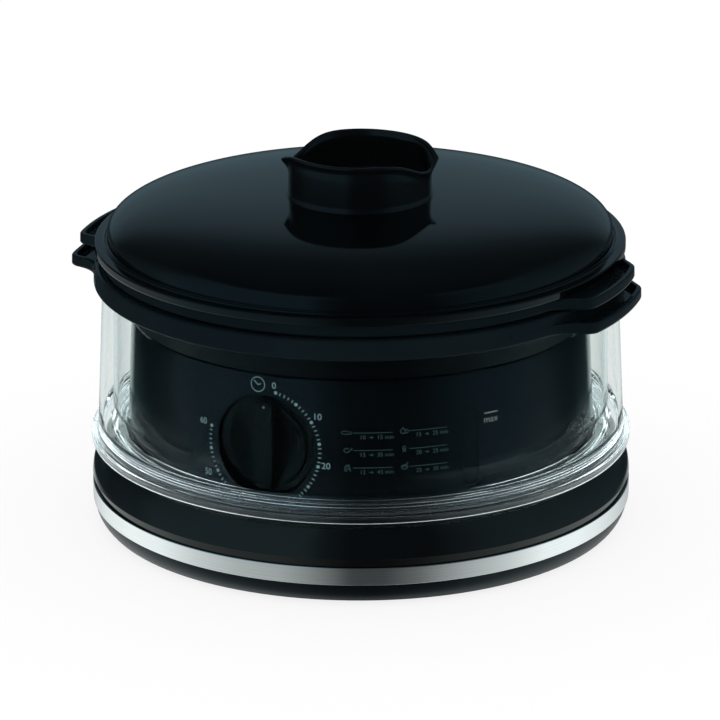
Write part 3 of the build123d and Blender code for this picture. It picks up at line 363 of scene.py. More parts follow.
SMOKED = moulded("smoked_window", (0.0040, 0.0060, 0.0072), (0.0052, 0.0076, 0.0090), 0.09, 0.02,
                 900.0, 0.03, specular=0.25, sheen=BLUE_SHEEN)

for entry in frame["record"]["subparts"]:
    node = frame["nodes"][entry["node"]]
    node.data.materials.clear()
    node.data.materials.append(SMOKED if entry["node"] == "level_window" else LOOKS[entry["material_slot"]])


# ---- base ------------------------------------------------------------------
def steel_band():
    shape = Shape()
    thickness, edge = 0.75, 0.25
    inner = BASE_R - thickness
    shape.lathe(rounded([(inner, BAND_Z0), (BASE_R, BAND_Z0, edge), (BASE_R, BAND_Z1, edge),
                         (inner, BAND_Z1)]))
    shape.piece("band_ring", "base", LOOKS["steel"], "steel", replaces=["steel_band"])


def base_skirt():
    """The skirt: a bed behind the band, a dark groove over it, then the shoulder up to the column."""
    shape = Shape()
    foot_z, bed_top = 15.1, BAND_Z1 + 0.01
    bed_r, groove_r, in_r = BASE_R - 0.85, BASE_R - 1.2, BASE_R - 3.3
    hole_r = COLUMN_R + 0.05
    wall, top_t = 2.5, 3
    centre_r = BASE_R - SHOULDER_R
    rise = math.degrees(math.asin((SKIRT_TOP - SKIRT_Z0) / SHOULDER_R))
    shoulder = arc((centre_r - 0.1, SKIRT_Z0), SHOULDER_R, 5.0, rise, 14)
    inside = arc((centre_r, SKIRT_Z0), SHOULDER_R - wall, rise * 0.72, 1.5, 10)
    outline = [(in_r, foot_z), (bed_r, foot_z), (bed_r, bed_top), (groove_r, bed_top), (groove_r, SKIRT_Z0),
               (BASE_R, SKIRT_Z0, 0.15), *shoulder, (hole_r, SKIRT_TOP), (hole_r, SKIRT_TOP - top_t), *inside,
               (in_r, BAND_Z1)]
    shape.lathe(rounded(outline))
    shape.piece("skirt_shell", "base", LOOKS["black_gloss"], "black_gloss", replaces=["base_skirt"])


# ---- knob ------------------------------------------------------------------
def timer_knob():
    """A disc with a round hollow on a wider ring, and a grip bar across both."""
    place = Matrix.Translation((0, 0, DIAL_Z)) @ Matrix.Rotation(math.radians(90), 4, "X")
    ring_face = KNOB_FACE - 5.0
    disc_face = KNOB_FACE - 3.0
    ring_r, disc_foot_r, disc_r = 24.2, 19.9, 19.7
    scoop_r, scoop_d = 18.5, 4.4
    ball = (scoop_r ** 2 + scoop_d ** 2) / (2 * scoop_d)
    scoop = [(r, disc_face - scoop_d + ball - math.sqrt(ball ** 2 - r * r))
             for r in (scoop_r * i / 24 for i in range(24))]
    shape = Shape()
    outline = [*scoop, (scoop_r, disc_face, 0.3), (disc_r, disc_face, 0.45), (disc_foot_r, ring_face, 0.5),
               (ring_r, ring_face, 0.8), (ring_r, KNOB_BACK, 0.3), (0, KNOB_BACK)]
    shape.lathe(rounded(outline), closed=False, segments=144, place=place)
    grip_bar(shape, place)
    shape.piece("dial_knob", "knob", LOOKS["knob_plastic"], "knob_plastic", replaces=["timer_knob"],
                sharp=50.0)


def grip_bar(shape, place):
    """A flat-topped bar across the knob. Its flanks widen inwards, and its ends are round."""
    reach, half_top, draft, depth, edge = 21.3, 4.2, 0.26, 8.6, 0.5

    def ring(inset, height, sink):
        half = half_top - inset + draft * sink
        end = math.sqrt((reach - inset) ** 2 - half ** 2)
        swing = math.degrees(math.atan2(half, end))
        sides = [(half, end * (1 - 2 * i / 20)) for i in range(1, 20)]
        bottom = arc((0, 0), reach - inset, -90 + swing, -90 - swing, 12)
        top = arc((0, 0), reach - inset, 90 + swing, 90 - swing, 12)
        plan = sides + bottom + [(-x, -y) for x, y in sides] + top
        return [shape.put(place, x, y, height) for x, y in plan[::-1]]

    steps = [math.radians(90 * i / 5) for i in range(6)]
    rows = [ring(edge + 0.9, KNOB_FACE, 0), ring(edge + 0.3, KNOB_FACE, 0)]
    rows += [ring(edge * (1 - math.sin(a)), KNOB_FACE - edge * (1 - math.cos(a)), 0) for a in steps]
    rows += [ring(0, KNOB_FACE - edge - sink, sink) for sink in (0.4, depth / 2, depth)]
    shape.skin([row[::-1] for row in rows][::-1], closed_columns=True)
    shape.face(rows[0])


# ---- bowls -----------------------------------------------------------------
def wall_radius(z):
    return BOWL_R - WALL_DRAFT * (z - FLARE_Z)


def inner_radius(z):
    return INNER_R - INNER_DRAFT * (z - INNER_LEDGE_Z)


def upright(radius_at, z0, z1, count=12):
    return [(radius_at(z0 + (z1 - z0) * i / count), z0 + (z1 - z0) * i / count) for i in range(count + 1)]


def look_below(made, height, look):
    """Gives the lower part of a clear bowl its own look."""
    made.data.materials.append(look)
    for polygon in made.data.polygons:
        if polygon.center.z < height * MM:
            polygon.material_index = 1


def bowl_1_wall():
    """The outer bowl: a wall on a foot with a lip outside, a ledge inside and a rib underneath."""
    shape = Shape()
    wall = 2.0
    top = RIM_TOP - 3.8
    under = LEDGE_Z - 2
    lip_in, lip_z, lip_top, lip_under = BASE_R - 2.2, SKIRT_TOP + 1.2, 44.4, 43.8
    rib_in, rib_out, rib_z = 117.0, 119.0, SKIRT_TOP + 0.3
    lip = [(lip_in, lip_z, 0.7), (BASE_R, lip_z, 0.6), (BASE_R, lip_top, 0.7), (BASE_R - 1.4, 45.6, 0.5)]
    outside = [(127.2, 45.8, 0.7), (126.9, LEDGE_Z, 1.0), *upright(wall_radius, FLARE_Z + 2, top)]
    inside = [*upright(lambda z: wall_radius(z) - wall, top, LEDGE_Z + 2), (124.6, LEDGE_Z, 1.2)]
    ledge = [(LEDGE_R, LEDGE_Z, 0.6), (LEDGE_R, under, 0.5)]
    rib = [(rib_in, under, 0.6), (rib_in, rib_z, 0.5), (rib_out, rib_z, 0.5), (rib_out, under, 0.6)]
    flange = [(124.8, under, 1.0), (lip_in, lip_under, 1.2)]
    shape.lathe(rounded([*lip, *outside, *inside, *ledge, *rib, *flange]))
    made = shape.piece("outer_bowl", "bowl_1", LOOKS["clear"], "clear", ["bowl_1_foot", "bowl_1_wall"], 60.0)
    look_below(made, FLARE_Z, THICK_CLEAR)


def bowl_2_wall():
    """The inner bowl: a wall with a bead outside its foot and a ledge inside."""
    shape = Shape()
    wall = 1.8
    top = UPPER_RIM_TOP - 3.3
    under = INNER_LEDGE_Z - 2
    bead_in, bead_out, bead_z = 117.0, 120.6, INNER_LEDGE_Z - 6
    bead = [(bead_in, bead_z, 0.6), (bead_out, bead_z, 0.8), (bead_out, INNER_LEDGE_Z - 1.9, 0.9)]
    outside = upright(inner_radius, INNER_LEDGE_Z + 1, top)
    inside = upright(lambda z: inner_radius(z) - wall, top, INNER_LEDGE_Z + 2)
    ledge = [(117.5, INNER_LEDGE_Z, 1.2), (LEDGE_R, INNER_LEDGE_Z, 0.6), (LEDGE_R, under, 0.5),
             (bead_in, under, 0.5)]
    shape.lathe(rounded([*bead, *outside, *inside, *ledge]))
    made = shape.piece("inner_bowl", "bowl_2", LOOKS["clear"], "clear", ["bowl_2_foot", "bowl_2_wall"], 60.0)
    look_below(made, INNER_LEDGE_Z + 1, FAINT_CLEAR)


def handle_side(rim_r, tip, half_w, splay, corner, root):
    """One side of a handle on +X, as if on +Y: from the rim by a hollow blend to the outer edge's end."""
    size = math.hypot(splay, 1)
    normal = Vector((splay, 1)) / size
    along = Vector((1, -splay)) / size
    offset = normal.dot(Vector((tip, half_w)))
    centre = normal * (offset + root) + along * math.sqrt((rim_r + root) ** 2 - (offset + root) ** 2)
    touch = math.degrees(math.atan2(centre.y, centre.x))
    lean = math.degrees(math.atan2(normal.y, normal.x))
    corner_centre = Vector((tip - corner, 0))
    corner_centre.y = (offset - corner - normal.x * corner_centre.x) / normal.y
    foot = centre - normal * root
    start = corner_centre + normal * corner
    points = arc((0, 0), rim_r, touch + 9, touch + 1, 8)
    points += arc(centre, root, touch + 180, lean + 180, 14)
    points += [tuple(foot.lerp(start, i / 8)) for i in range(1, 8)]
    return points + arc(corner_centre, corner, lean, 10, 14)


def handle_outline(rim_r, length, front_w, rear_w):
    """The free edge of a handle on +X, from the rim on -Y round to the rim on +Y."""
    bow = 2.4
    reach = rim_r + length
    tip = reach - bow
    front = [(x, -y) for x, y in handle_side(rim_r, tip, front_w, 0.25, 7.0, 20.0)]
    rear = handle_side(rim_r, tip, rear_w, 1.0, 10.0, 16.0)
    half = (rear[-1][1] - front[-1][1]) / 2
    chord = (half * half + bow * bow) / (2 * bow)
    swing = math.degrees(math.asin(half / chord)) * 0.93
    middle = (reach - chord, (rear[-1][1] + front[-1][1]) / 2)
    return front + arc(middle, chord, -swing, swing, 24) + rear[::-1]


def inset_line(points, distance):
    """Moves an open outline inwards (to its left)."""
    out = []
    for i, point in enumerate(points):
        before = Vector(points[max(i - 1, 0)])
        after = Vector(points[min(i + 1, len(points) - 1)])
        heading = (after - before).normalized()
        out.append((point[0] - heading.y * distance, point[1] + heading.x * distance))
    return out


def add_handles(shape, rim_r, length, front_w, rear_w, z0):
    """Two dished handles: a floor with a raised lip round the free edge."""
    outline = handle_outline(rim_r, length, front_w, rear_w)
    top = z0 + HANDLE_T
    floor = z0 + 2.2
    lip_lean, lip_w, lip_foot_w = 0.15, 2.7, 3.0
    section = rounded([(3.9, z0), (0, z0, 0.9), (lip_lean, top, 0.8), (lip_w, top, 0.6),
                       (lip_foot_w, floor, 0.7), (4.2, floor)], closed=False)
    for side in (1, -1):
        rows = []
        for distance, height in section:
            line = inset_line(outline, distance)
            rows.append([shape.point(side * x, y, height) for x, y in line[::side]])
        shape.skin(rows)
        for row, flip in ((rows[0], True), (rows[-1], False)):
            for i in range(len(row) // 2):
                j = len(row) - 1 - i
                if j - i > 1:
                    quad = [row[i], row[i + 1], row[j - 1], row[j]]
                    shape.face(quad[::-1] if flip else quad)


def bowl_1_rim():
    shape = Shape()
    slot_z = RIM_TOP - 3.6
    slot_r = wall_radius(RIM_Z0) + 0.1
    in_r = wall_radius(slot_z) - 2
    shape.lathe(rounded([(slot_r, RIM_Z0, 0.2), (RIM_R, RIM_Z0, 0.6), (RIM_R - 0.8, RIM_TOP, 1.6),
                         (in_r, RIM_TOP, 0.7), (in_r, slot_z), (slot_r, slot_z)]))
    add_handles(shape, RIM_R, 11.2, 40.0, 21.0, RIM_Z0)
    shape.piece("outer_bowl_rim", "bowl_1", RIM_PAINTED_REFLECTION, "black_gloss", replaces=["bowl_1_rim"])


def bowl_2_rim():
    shape = Shape()
    slot_z = UPPER_RIM_TOP - 3.2
    slot_r = inner_radius(UPPER_RIM_Z0) + 0.1
    in_r = inner_radius(UPPER_RIM_TOP) - 1.8
    rib_in, rib_out, rib_z = 121.6, 122.6, RIM_TOP + 0.3
    rib = [(rib_in, UPPER_RIM_Z0), (rib_in, rib_z, 0.2), (rib_out, rib_z, 0.2), (rib_out, UPPER_RIM_Z0)]
    shape.lathe(rounded([(slot_r, UPPER_RIM_Z0), *rib, (UPPER_RIM_R, UPPER_RIM_Z0, 0.4),
                         (UPPER_RIM_R - 0.7, UPPER_RIM_TOP, 1.4), (in_r, UPPER_RIM_TOP, 0.6), (in_r, slot_z),
                         (slot_r, slot_z)]))
    add_handles(shape, UPPER_RIM_R, 12.0, 37.0, 20.0, UPPER_RIM_Z0)
    shape.piece("inner_bowl_rim", "bowl_2", RIM_PAINTED_REFLECTION, "black_gloss", replaces=["bowl_2_rim"])


# ---- lid -------------------------------------------------------------------
def lid():
    """The lid: a dome with a flat flange, a skirt over the inner rim and a spigot inside the bowl."""
    shape = Shape()
    wall, belly_r, belly_z = 2.5, 90.0, 154.0
    in_r, in_top = DOME_R - wall, DOME_TOP - wall
    dome = bezier((0, DOME_TOP), (belly_r, DOME_TOP), (DOME_R, belly_z), (DOME_R, DOME_EDGE_Z), 72)
    under = bezier((in_r, DOME_EDGE_Z), (in_r, belly_z - wall), (belly_r - wall, in_top), (0, in_top), 48)
    flange = LID_SEAT_Z + 1.1
    shoulder = flange + 0.5
    skirt_in, skirt_z = 125.0, 135.0
    spigot_out, spigot_in, spigot_z, spigot_top = 115.2, 113.0, 131.5, 139.8
    bead = [(121.3, shoulder), (121.6, flange + 1.0, 0.25), (122.4, flange + 1.0, 0.25),
            (122.8, shoulder - 0.3, 0.2)]
    skirt = [(LID_R, flange, 0.55), (LID_R, skirt_z, 0.4), (skirt_in, skirt_z, 0.3),
             (skirt_in, LID_SEAT_Z, 0.4)]
    spigot = [(spigot_out, LID_SEAT_Z), (spigot_out, spigot_z, 0.5), (spigot_in, spigot_z, 0.5),
              (spigot_in, spigot_top, 0.5)]
    edge = [(DOME_R + 0.1, shoulder, 0.7), *bead, *skirt, *spigot]
    shape.lathe(rounded(dome + edge + under), closed=False)
    shape.piece("lid_shell", "cover", LID_GLOSS, "black_gloss", replaces=["lid"], sharp=45.0)


def past_beak(turn):
    """Degrees from a beak to a turn from the front."""
    return turn - CUP_TURN + BEAK_BACK


def cup_height(turn):
    """Height of the cup's lip. Its two dips have a slow and a quick side each."""
    slow, quick = 33.4, 21.5
    x = past_beak(turn) % 180.0 - DIP_AT
    if x < -90.0:
        x += 180.0
    depth = math.exp(-abs(x / slow) ** 2.6) if x < 0 else math.exp(-(x / quick) ** 1.8)
    return CUP_TOP - DIP * depth


def cup_lip(turn):
    """Radius of the cup's lip, which runs out to two beaks."""
    from_beak = (past_beak(turn) + 90.0) % 180.0 - 90.0
    return CUP_R + 0.1 + 2.9 * math.exp(-abs(from_beak) / 12.0)


def cup_outline(degrees):
    """Half of the cup's section at a turn in degrees, from the axis below to the screw boss inside."""
    floor = CUP_Z0 + 2.4
    boss_r, boss_top = 5.0, CUP_Z0 + 8.0
    top = cup_height(degrees)
    lip = cup_lip(degrees)
    flare = top - 8.0
    outside = bezier((CUP_R - 0.4, flare), (CUP_R - 0.35, flare + 4), (lip - 1.0, top - 3.2),
                     (lip, top - 1.2), 8)
    inside = bezier((lip - 2.0, top - 1.4), (lip - 3.0, top - 3.2), (CUP_R - 2.4, flare + 3),
                    (CUP_R - 2.4, flare), 8)
    foot = [(0, CUP_Z0), (CUP_R - 1, CUP_Z0), (CUP_R + 0.3, CUP_Z0 + 0.2), (CUP_R + 0.3, CUP_Z0 + 0.9),
            (CUP_R - 0.25, CUP_Z0 + 1.6), (CUP_R - 0.35, CUP_Z0 + 3)]
    edge = arc((lip - 1.0, top - 1.1), 1.0, -8, 188, 10)
    hollow = [(CUP_R - 2.5, floor + 2.4), (CUP_R - 2.9, floor + 1.0), (CUP_R - 4.6, floor), (14.0, floor)]
    boss = [(boss_r + 0.4, floor), (boss_r, floor + 0.4), (boss_r, boss_top - 0.4), (boss_r - 0.4, boss_top),
            (0, boss_top)]
    return [*foot, *outside[:-1], *edge, *inside[1:], *hollow, *boss]


def lid_handle():
    shape = Shape()
    count = 288
    columns = []
    for i in range(count):
        degrees = 360.0 * i / count
        turn = math.radians(degrees)
        columns.append([(r * math.sin(turn), -r * math.cos(turn), z) for r, z in cup_outline(degrees)])
    rows = []
    for k, (x, y, _) in enumerate(columns[0]):
        centre = abs(x) < AXIS_R and abs(y) < AXIS_R
        one = [shape.point(*columns[0][k])] * count if centre else [shape.point(*c[k]) for c in columns]
        rows.append(one)
    shape.skin(rows, closed_columns=True)
    shape.piece("lid_cup", "cover", CUP_SATIN, "black_gloss", replaces=["lid_handle"], sharp=50.0)


# ---- printing on the panel -------------------------------------------------
PRINT_LIFT = 0.1       # the print stands this far off the column
DOT_STEPS = 19
DOT_END = 342          # degrees: a dot's outline has 20 points and closes by itself
TEXT_SIZE = 1.38       # the font's size for a height of 1


def on_panel(azimuth, u, z):
    """A place on the column, u millimetres to the right of an azimuth in degrees."""
    radius = COLUMN_R - COLUMN_DRAFT * (z - SKIRT_TOP) + PRINT_LIFT
    turn = math.radians(azimuth) + u / radius
    return (radius * math.sin(turn), -radius * math.cos(turn), z)


class Print(Shape):
    """Flat marks on the column's panel."""

    def stroke(self, azimuth, z, points, width, closed=False):
        """A line of even width through (u, v) points."""
        ends = points + points[:1] if closed else points
        left, right = [], []
        for i, point in enumerate(ends):
            if closed:
                before, after = ends[(i - 1) % (len(ends) - 1)], ends[(i + 1) % (len(ends) - 1)]
            else:
                before, after = ends[max(i - 1, 0)], ends[min(i + 1, len(ends) - 1)]
            heading = (Vector(after) - Vector(before)).normalized() * width / 2
            left.append(self.point(*on_panel(azimuth, point[0] - heading.y, z + point[1] + heading.x)))
            right.append(self.point(*on_panel(azimuth, point[0] + heading.y, z + point[1] - heading.x)))
        self.skin([right, left])

    def dot(self, azimuth, z, u, v, radius):
        ring = arc((u, v), radius, 0, DOT_END, DOT_STEPS)
        self.face([self.point(*on_panel(azimuth, x, z + y)) for x, y in ring])

    def text(self, words, azimuth, z, height, bold=-0.03):
        """Plain characters, centred on a place."""
        curve = bpy.data.curves.new("words", "FONT")
        curve.body = words
        curve.align_x = "CENTER"
        curve.align_y = "CENTER"
        curve.size = height * TEXT_SIZE
        curve.offset = bold
        holder = bpy.data.objects.new("words", curve)
        bpy.context.scene.collection.objects.link(holder)
        mesh = bpy.data.meshes.new_from_object(holder.evaluated_get(bpy.context.evaluated_depsgraph_get()))
        start = len(self.points)
        for vertex in mesh.vertices:
            self.point(*on_panel(azimuth, vertex.co.x, z + vertex.co.y))
        for polygon in mesh.polygons:
            self.face([start + i for i in polygon.vertices])
        bpy.data.objects.remove(holder)
        bpy.data.curves.remove(curve)
        bpy.data.meshes.remove(mesh)


def ink(name, colour):
    made, nodes, shader = material(name)
    wear = nodes.noise(1600.0, detail=3.0)
    worn = [c * 0.86 for c in colour]
    nodes.link(nodes.mix(nodes.ramp(wear, 0.35, 0.6), rgba(worn), rgba(colour)), shader.inputs["Base Color"])
    nodes.link(nodes.ramp(wear, 0.3, 0.7, 0.4, 0.5, smooth=False), shader.inputs["Roughness"])
    nodes.link(nodes.bump(wear, 0.1, 0.00001), shader.inputs["Normal"])
    return made


DIAL_INK = ink("dial_ink", (0.30, 0.46, 0.50))
CHART_INK = ink("chart_ink", (0.070, 0.150, 0.175))
MARK_INK = ink("mark_ink", (0.40, 0.44, 0.44))


def dial_print():
    """The minute scale, its numbers and a small clock face."""
    marks = Print()
    scale_r, first, per_minute = 28.1, 13.7, 4.475
    middle, middle_z = -0.5, DIAL_Z - 0.9
    for minute in range(61):
        turn = math.radians(first + per_minute * minute)
        out = (math.sin(turn), math.cos(turn))
        if minute % 5 == 0:
            marks.dot(middle, middle_z, scale_r * out[0], scale_r * out[1], 0.82)
        else:
            ends = [(r * out[0], r * out[1]) for r in (scale_r - 0.75, scale_r + 0.75)]
            marks.stroke(middle, middle_z, ends, 0.42)
    for words, azimuth, z in (("0", 2.5, 98.7), ("10", 13.3, 85.6), ("20", 15.4, 62.2), ("30", 7.6, 43.0),
                              ("40", -6.8, 42.8), ("50", -15.5, 51.2), ("60", -17.3, 75.4)):
        marks.text(words, azimuth, z, 3.1, bold=0.02)
    clock_az, clock_z = -1.7, 98.5
    marks.stroke(clock_az, clock_z, arc((0, 0), 3.45, 0, 350, 35), 0.34, closed=True)
    marks.stroke(clock_az, clock_z, [(-1.9, 1.7), (0.1, -0.2), (1.5, 0.5)], 0.42)
    marks.piece("dial_print", "base", DIAL_INK, "panel_plastic")


def oval(centre, half_w, half_h, start, end, step):
    """Points on an oval, from start up to end in whole degrees."""
    turns = [math.radians(t) for t in range(start, end, step)]
    return [(centre[0] + half_w * math.cos(a), centre[1] + half_h * math.sin(a)) for a in turns]


def pear(across, half_w, half_h, pinch, step):
    """Points on a pear, which is narrower towards the top."""
    points = []
    for a in [math.radians(t) for t in range(0, 360, step)]:
        width = 1.0 if math.cos(a) < 0 else 1 - pinch * math.cos(a)
        points.append((half_w * math.sin(a) * width + across, half_h * math.cos(a)))
    return points


EGG_STAND = ((0.85, 0.25), (0.4, -0.5), (0.15, -1.2), (0.9, -1.5))
PICTOGRAMS = {
    "fish": [[*oval((-1.1, 0), 1.9, 0.8, 22, 340, 16), (1.6, -0.75), (1.35, 0.0), (1.6, 0.75)]],
    "fruit": [pear(-0.6, 1.15, 1.3, 0.55, 18), arc((0.95, -0.25), 0.95, 130, -130, 14),
              [(-0.6, 1.3), (-0.35, 1.85)]],
    "leg": [[*oval((-0.5, -0.1), 1.35, 0.95, 45, 335, 16), (1.6, 0.5), (1.95, 0.45), (2.0, 0.9),
             (1.55, 0.95)]],
    "egg": [oval((0, 0.45), 0.62, 0.85, 0, 360, 20),
            *([(side * x, z) for x, z in EGG_STAND] for side in (-1, 1))],
    "roots": [[(-1.5, -0.2), (-0.9, 0.9), (0.1, 1.4), (0.2, 0.9), (-0.6, 0.1)],
              [(0.5, 0.8), (0.9, -0.4), (1.3, -1.7), (0.2, -0.2)], [(0.3, 0.9), (0.8, 1.5)],
              arc((-0.9, -1.1), 0.6, 0, 342, 12)],
    "bowl": [[(-1.5, 0.2), *arc((0, 0.2), 1.5, 180, 360, 14), (-1.5, 0.2)],
             [(-1.2, 0.35), (-0.6, 0.85), (0.2, 0.7), (0.9, 0.95), (1.25, 0.35)], [(0.7, 0.8), (1.7, 2.0)]],
}
CHART = (("fish", "fruit", "10", "15", "15", "25"), ("leg", "egg", "15", "35", "20", "25"),
         ("roots", "bowl", "12", "45", "25", "35"))


def chart_entry(marks, picture, azimuth, z, low, high):
    """A pictogram with a line beside it, and a span of minutes under the line."""
    line, arrow = 0.26, 0.22
    for points in PICTOGRAMS[picture]:
        marks.stroke(azimuth, z, points, line)
    marks.stroke(azimuth, z - 0.1, [(2.4 + 1.4 * i, 0) for i in range(14)], 0.2)
    middle, text_z, text_h = azimuth + 6.8, z - 2.3, 2.05
    marks.text(low, middle - 3.3, text_z, text_h)
    marks.text(f"{high} min", middle + 2.1, text_z, text_h)
    marks.stroke(middle - 1.3, text_z, [(-0.9, 0), (0.75, 0)], arrow)
    marks.stroke(middle - 1.3, text_z, [(0.15, 0.6), (0.9, 0), (0.15, -0.6)], arrow)


def chart_print():
    marks = Print()
    for row, (left, right, low_1, high_1, low_2, high_2) in enumerate(CHART):
        chart_entry(marks, left, 20.6, 78.7 - 8.4 * row, low_1, high_1)
        chart_entry(marks, right, 34.0, 79.0 - 8.6 * row, low_2, high_2)
    marks.piece("chart_print", "base", CHART_INK, "panel_plastic")


def level_print():
    marks = Print()
    marks.stroke(56.5, 82.3, [(-3.6 + 0.72 * i, 0) for i in range(11)], 0.5)
    marks.text("max", 56.4, 79.1, 3.4)
    marks.piece("level_print", "base", MARK_INK, "panel_plastic")


def knob_mark():
    shape = Shape()
    ring = arc((0, 18.9), 0.5, 0, DOT_END, DOT_STEPS)
    shape.face([shape.point(x, -KNOB_FACE - 0.04, DIAL_Z + z) for x, z in ring])
    shape.piece("knob_dot", "knob", MARK_INK, "knob_plastic")


for build in (steel_band, base_skirt, timer_knob, bowl_1_wall, bowl_2_wall, bowl_1_rim, bowl_2_rim, lid,
              lid_handle, dial_print, chart_print, level_print, knob_mark):
    build()


# ---- studio ----------------------------------------------------------------
BELOW, ABOVE = -19.8, -16.6        # reflections change from the floor's panels to the walls' in between
LOW_PANELS = ((-180, 0.4), (-160, 0.6), (-140, 0.85), (-115, 1.0), (-95, 0.95), (-75, 0.65), (-55, 0.46),
              (-35, 0.38), (-20, 0.22), (-5, 0.05), (10, 0.05), (25, 0.14), (45, 0.40), (65, 0.62),
              (85, 0.98), (105, 1.0), (125, 0.85), (145, 0.65), (160, 0.5), (180, 0.4))
WALL_PANELS = ((-130, 0.05), (-108, 0.13), (-95, 0.27), (-72, 0.35), (-24, 0.35), (-16, 0.15), (-6, 0.05),
               (30, 0.05), (42, 0.14), (52, 0.22), (72, 0.27), (92, 0.24), (110, 0.17), (128, 0.10),
               (145, 0.05))
BACK_SWEEP = ((-8, 0.03), (2, 0.23), (14, 0.25), (22, 0.18), (28, 0.09), (36, 0.05), (46, 0.03))
CEILING = (0.06, 0.06, 0.06)
LOW_TINT = (1.12, 1.19, 1.18)
WALL_TINT = (0.65, 1.0, 1.18)
DEEP_TINT = (0.15, 0.23, 0.26)     # for light that went on through several clear walls
OPEN_TINT = (0.84, 0.92, 0.92)     # for light that leaves the clear walls to the back or upwards


def studio_world():
    """White all round for plain light. Mirror-like reflections see dark walls with soft panels instead."""
    world = bpy.data.worlds.new("studio")
    world.use_nodes = True
    bpy.context.scene.world = world
    nodes = Nodes(world.node_tree)
    background = world.node_tree.nodes["Background"]
    split = nodes.add("ShaderNodeSeparateXYZ")
    nodes.link(nodes.add("ShaderNodeTexCoord").outputs["Generated"], split.inputs[0])
    x, y, z = split.outputs
    near_x, near_y = math.sin(CAMERA_AZ), -math.cos(CAMERA_AZ)
    ahead = nodes.maths("ADD", nodes.maths("MULTIPLY", x, near_x), nodes.maths("MULTIPLY", y, near_y))
    aside = nodes.maths("SUBTRACT", nodes.maths("MULTIPLY", y, near_x), nodes.maths("MULTIPLY", x, near_y))
    azimuth = nodes.maths("MULTIPLY", nodes.maths("ARCTAN2", aside, ahead), 180 / math.pi)
    height = nodes.maths("MULTIPLY", nodes.maths("ARCSINE", z), 180 / math.pi)

    def levels(angle, stops):
        """Light levels at angles in degrees from the camera's side, with straight ramps between them."""
        made = nodes.add("ShaderNodeValToRGB")
        nodes.link(nodes.ramp(angle, -180, 180, smooth=False), made.inputs[0])
        elements = made.color_ramp.elements
        elements.remove(elements[1])
        for i, (degrees, level) in enumerate(stops):
            place = (degrees + 180) / 360
            element = elements.new(place) if i else elements[0]
            element.position = place
            element.color = rgba([level] * 3)
        return made.outputs[0]

    def tinted(colour, tint):
        made = nodes.add("ShaderNodeVectorMath", operation="MULTIPLY")
        nodes.link(colour, made.inputs[0])
        made.inputs[1].default_value = tint
        return made.outputs[0]

    behind = nodes.ramp(ahead, -0.72, -0.92)
    walls = nodes.mix(behind, levels(azimuth, WALL_PANELS), levels(height, BACK_SWEEP))
    walls = nodes.mix(nodes.ramp(height, 44, 58), walls, rgba(CEILING))
    low = tinted(levels(azimuth, LOW_PANELS), LOW_TINT)
    seen = nodes.mix(nodes.ramp(height, BELOW, ABOVE), low, tinted(walls, WALL_TINT))

    path = nodes.add("ShaderNodeLightPath")
    glossy = nodes.maths("GREATER_THAN", path.outputs["Glossy Depth"], 0.5)
    through = path.outputs["Transmission Depth"]
    inside = nodes.maths("GREATER_THAN", through, 0.5)
    deep = nodes.maths("GREATER_THAN", through, 3.5)
    dimmed = nodes.maths("MULTIPLY", nodes.ramp(ahead, -0.12, -0.5), deep)
    seen = nodes.mix(dimmed, seen, tinted(seen, DEEP_TINT))
    upward = nodes.maths("MULTIPLY", nodes.ramp(height, 2, 9), nodes.ramp(ahead, 0.5, 0.1))
    open_way = nodes.maths("MAXIMUM", nodes.ramp(ahead, -0.84, -0.9), upward)
    seen = nodes.mix(nodes.maths("MULTIPLY", inside, open_way), seen, rgba(OPEN_TINT))
    nodes.link(nodes.mix(glossy, rgba((1.0, 1.0, 1.0)), seen), background.inputs["Color"])
    background.inputs["Strength"].default_value = 1.0
    world.cycles.sampling_method = "NONE"


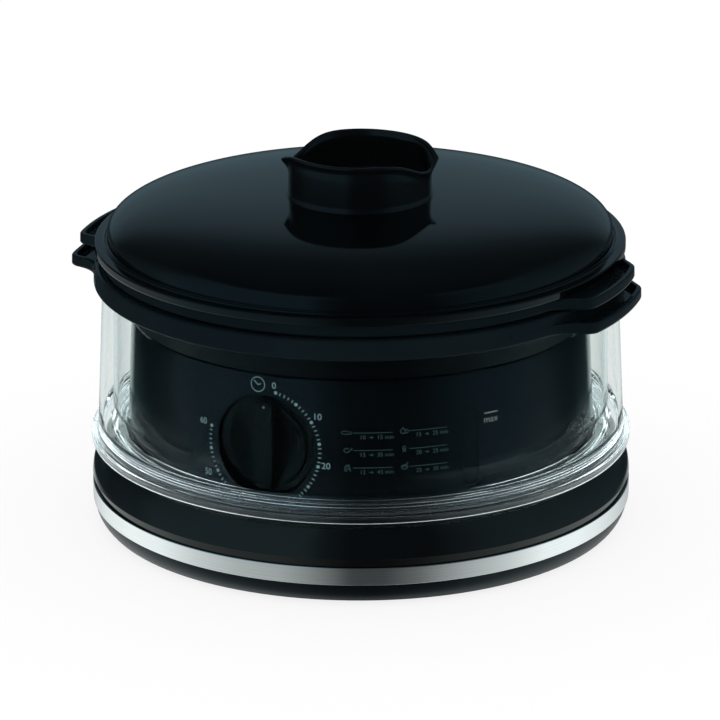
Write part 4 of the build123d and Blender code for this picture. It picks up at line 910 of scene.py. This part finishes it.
def studio_floor():
    """A pale floor that takes soft shadows. Mirror-like reflections pass through it to the studio."""
    made, nodes, shader = material("studio_floor")
    made.cycles.emission_sampling = "NONE"
    grain = nodes.noise(40.0)
    pale_grey = nodes.mix(grain, rgba((0.93, 0.93, 0.93)), rgba((0.96, 0.96, 0.96)))
    nodes.link(pale_grey, shader.inputs["Base Color"])
    shader.inputs["Roughness"].default_value = 0.9
    shader.inputs["Specular IOR Level"].default_value = 0.0
    glow = nodes.add("ShaderNodeEmission")
    glow.inputs["Strength"].default_value = 1.03
    pale = nodes.add("ShaderNodeMixShader")
    pale.inputs[0].default_value = 0.80
    nodes.link(shader.outputs[0], pale.inputs[1])
    nodes.link(glow.outputs[0], pale.inputs[2])
    clear = nodes.add("ShaderNodeBsdfTransparent")
    path = nodes.add("ShaderNodeLightPath")
    final = nodes.add("ShaderNodeMixShader")
    nodes.link(nodes.maths("GREATER_THAN", path.outputs["Glossy Depth"], 0.5), final.inputs[0])
    nodes.link(pale.outputs[0], final.inputs[1])
    nodes.link(clear.outputs[0], final.inputs[2])
    nodes.link(final.outputs[0], made.node_tree.nodes["Material Output"].inputs["Surface"])
    mesh = bpy.data.meshes.new("floor")
    half = 12.0
    corners = [(-half, -half, 0), (half, -half, 0), (half, half, 0), (-half, half, 0)]
    mesh.from_pydata(corners, [], [(0, 1, 2, 3)])
    mesh.materials.append(made)
    floor = bpy.data.objects.new("floor", mesh)
    bpy.context.scene.collection.objects.link(floor)


def studio_camera():
    camera = bpy.data.cameras.new("camera")
    camera.sensor_width = 36
    camera.lens = CAMERA_LENS
    holder = bpy.data.objects.new("camera", camera)
    bpy.context.scene.collection.objects.link(holder)
    aside = Vector((math.cos(CAMERA_AZ), math.sin(CAMERA_AZ), 0)) * CAMERA_SIDE
    look = (CAMERA_TARGET - CAMERA_AT).normalized().to_track_quat("-Z", "Y").to_matrix().to_4x4()
    roll = Matrix.Rotation(CAMERA_ROLL, 4, "Z")
    holder.matrix_world = Matrix.Translation(CAMERA_AT + aside) @ look @ roll
    bpy.context.scene.camera = holder


studio_camera()
studio_world()
studio_floor()
bpy.context.scene.view_settings.view_transform = "Standard"
bpy.context.scene.cycles.max_bounces = 32            # enough for the nested clear bowls
bpy.context.scene.cycles.transmission_bounces = 32
bpy.context.scene.cycles.glossy_bounces = 12
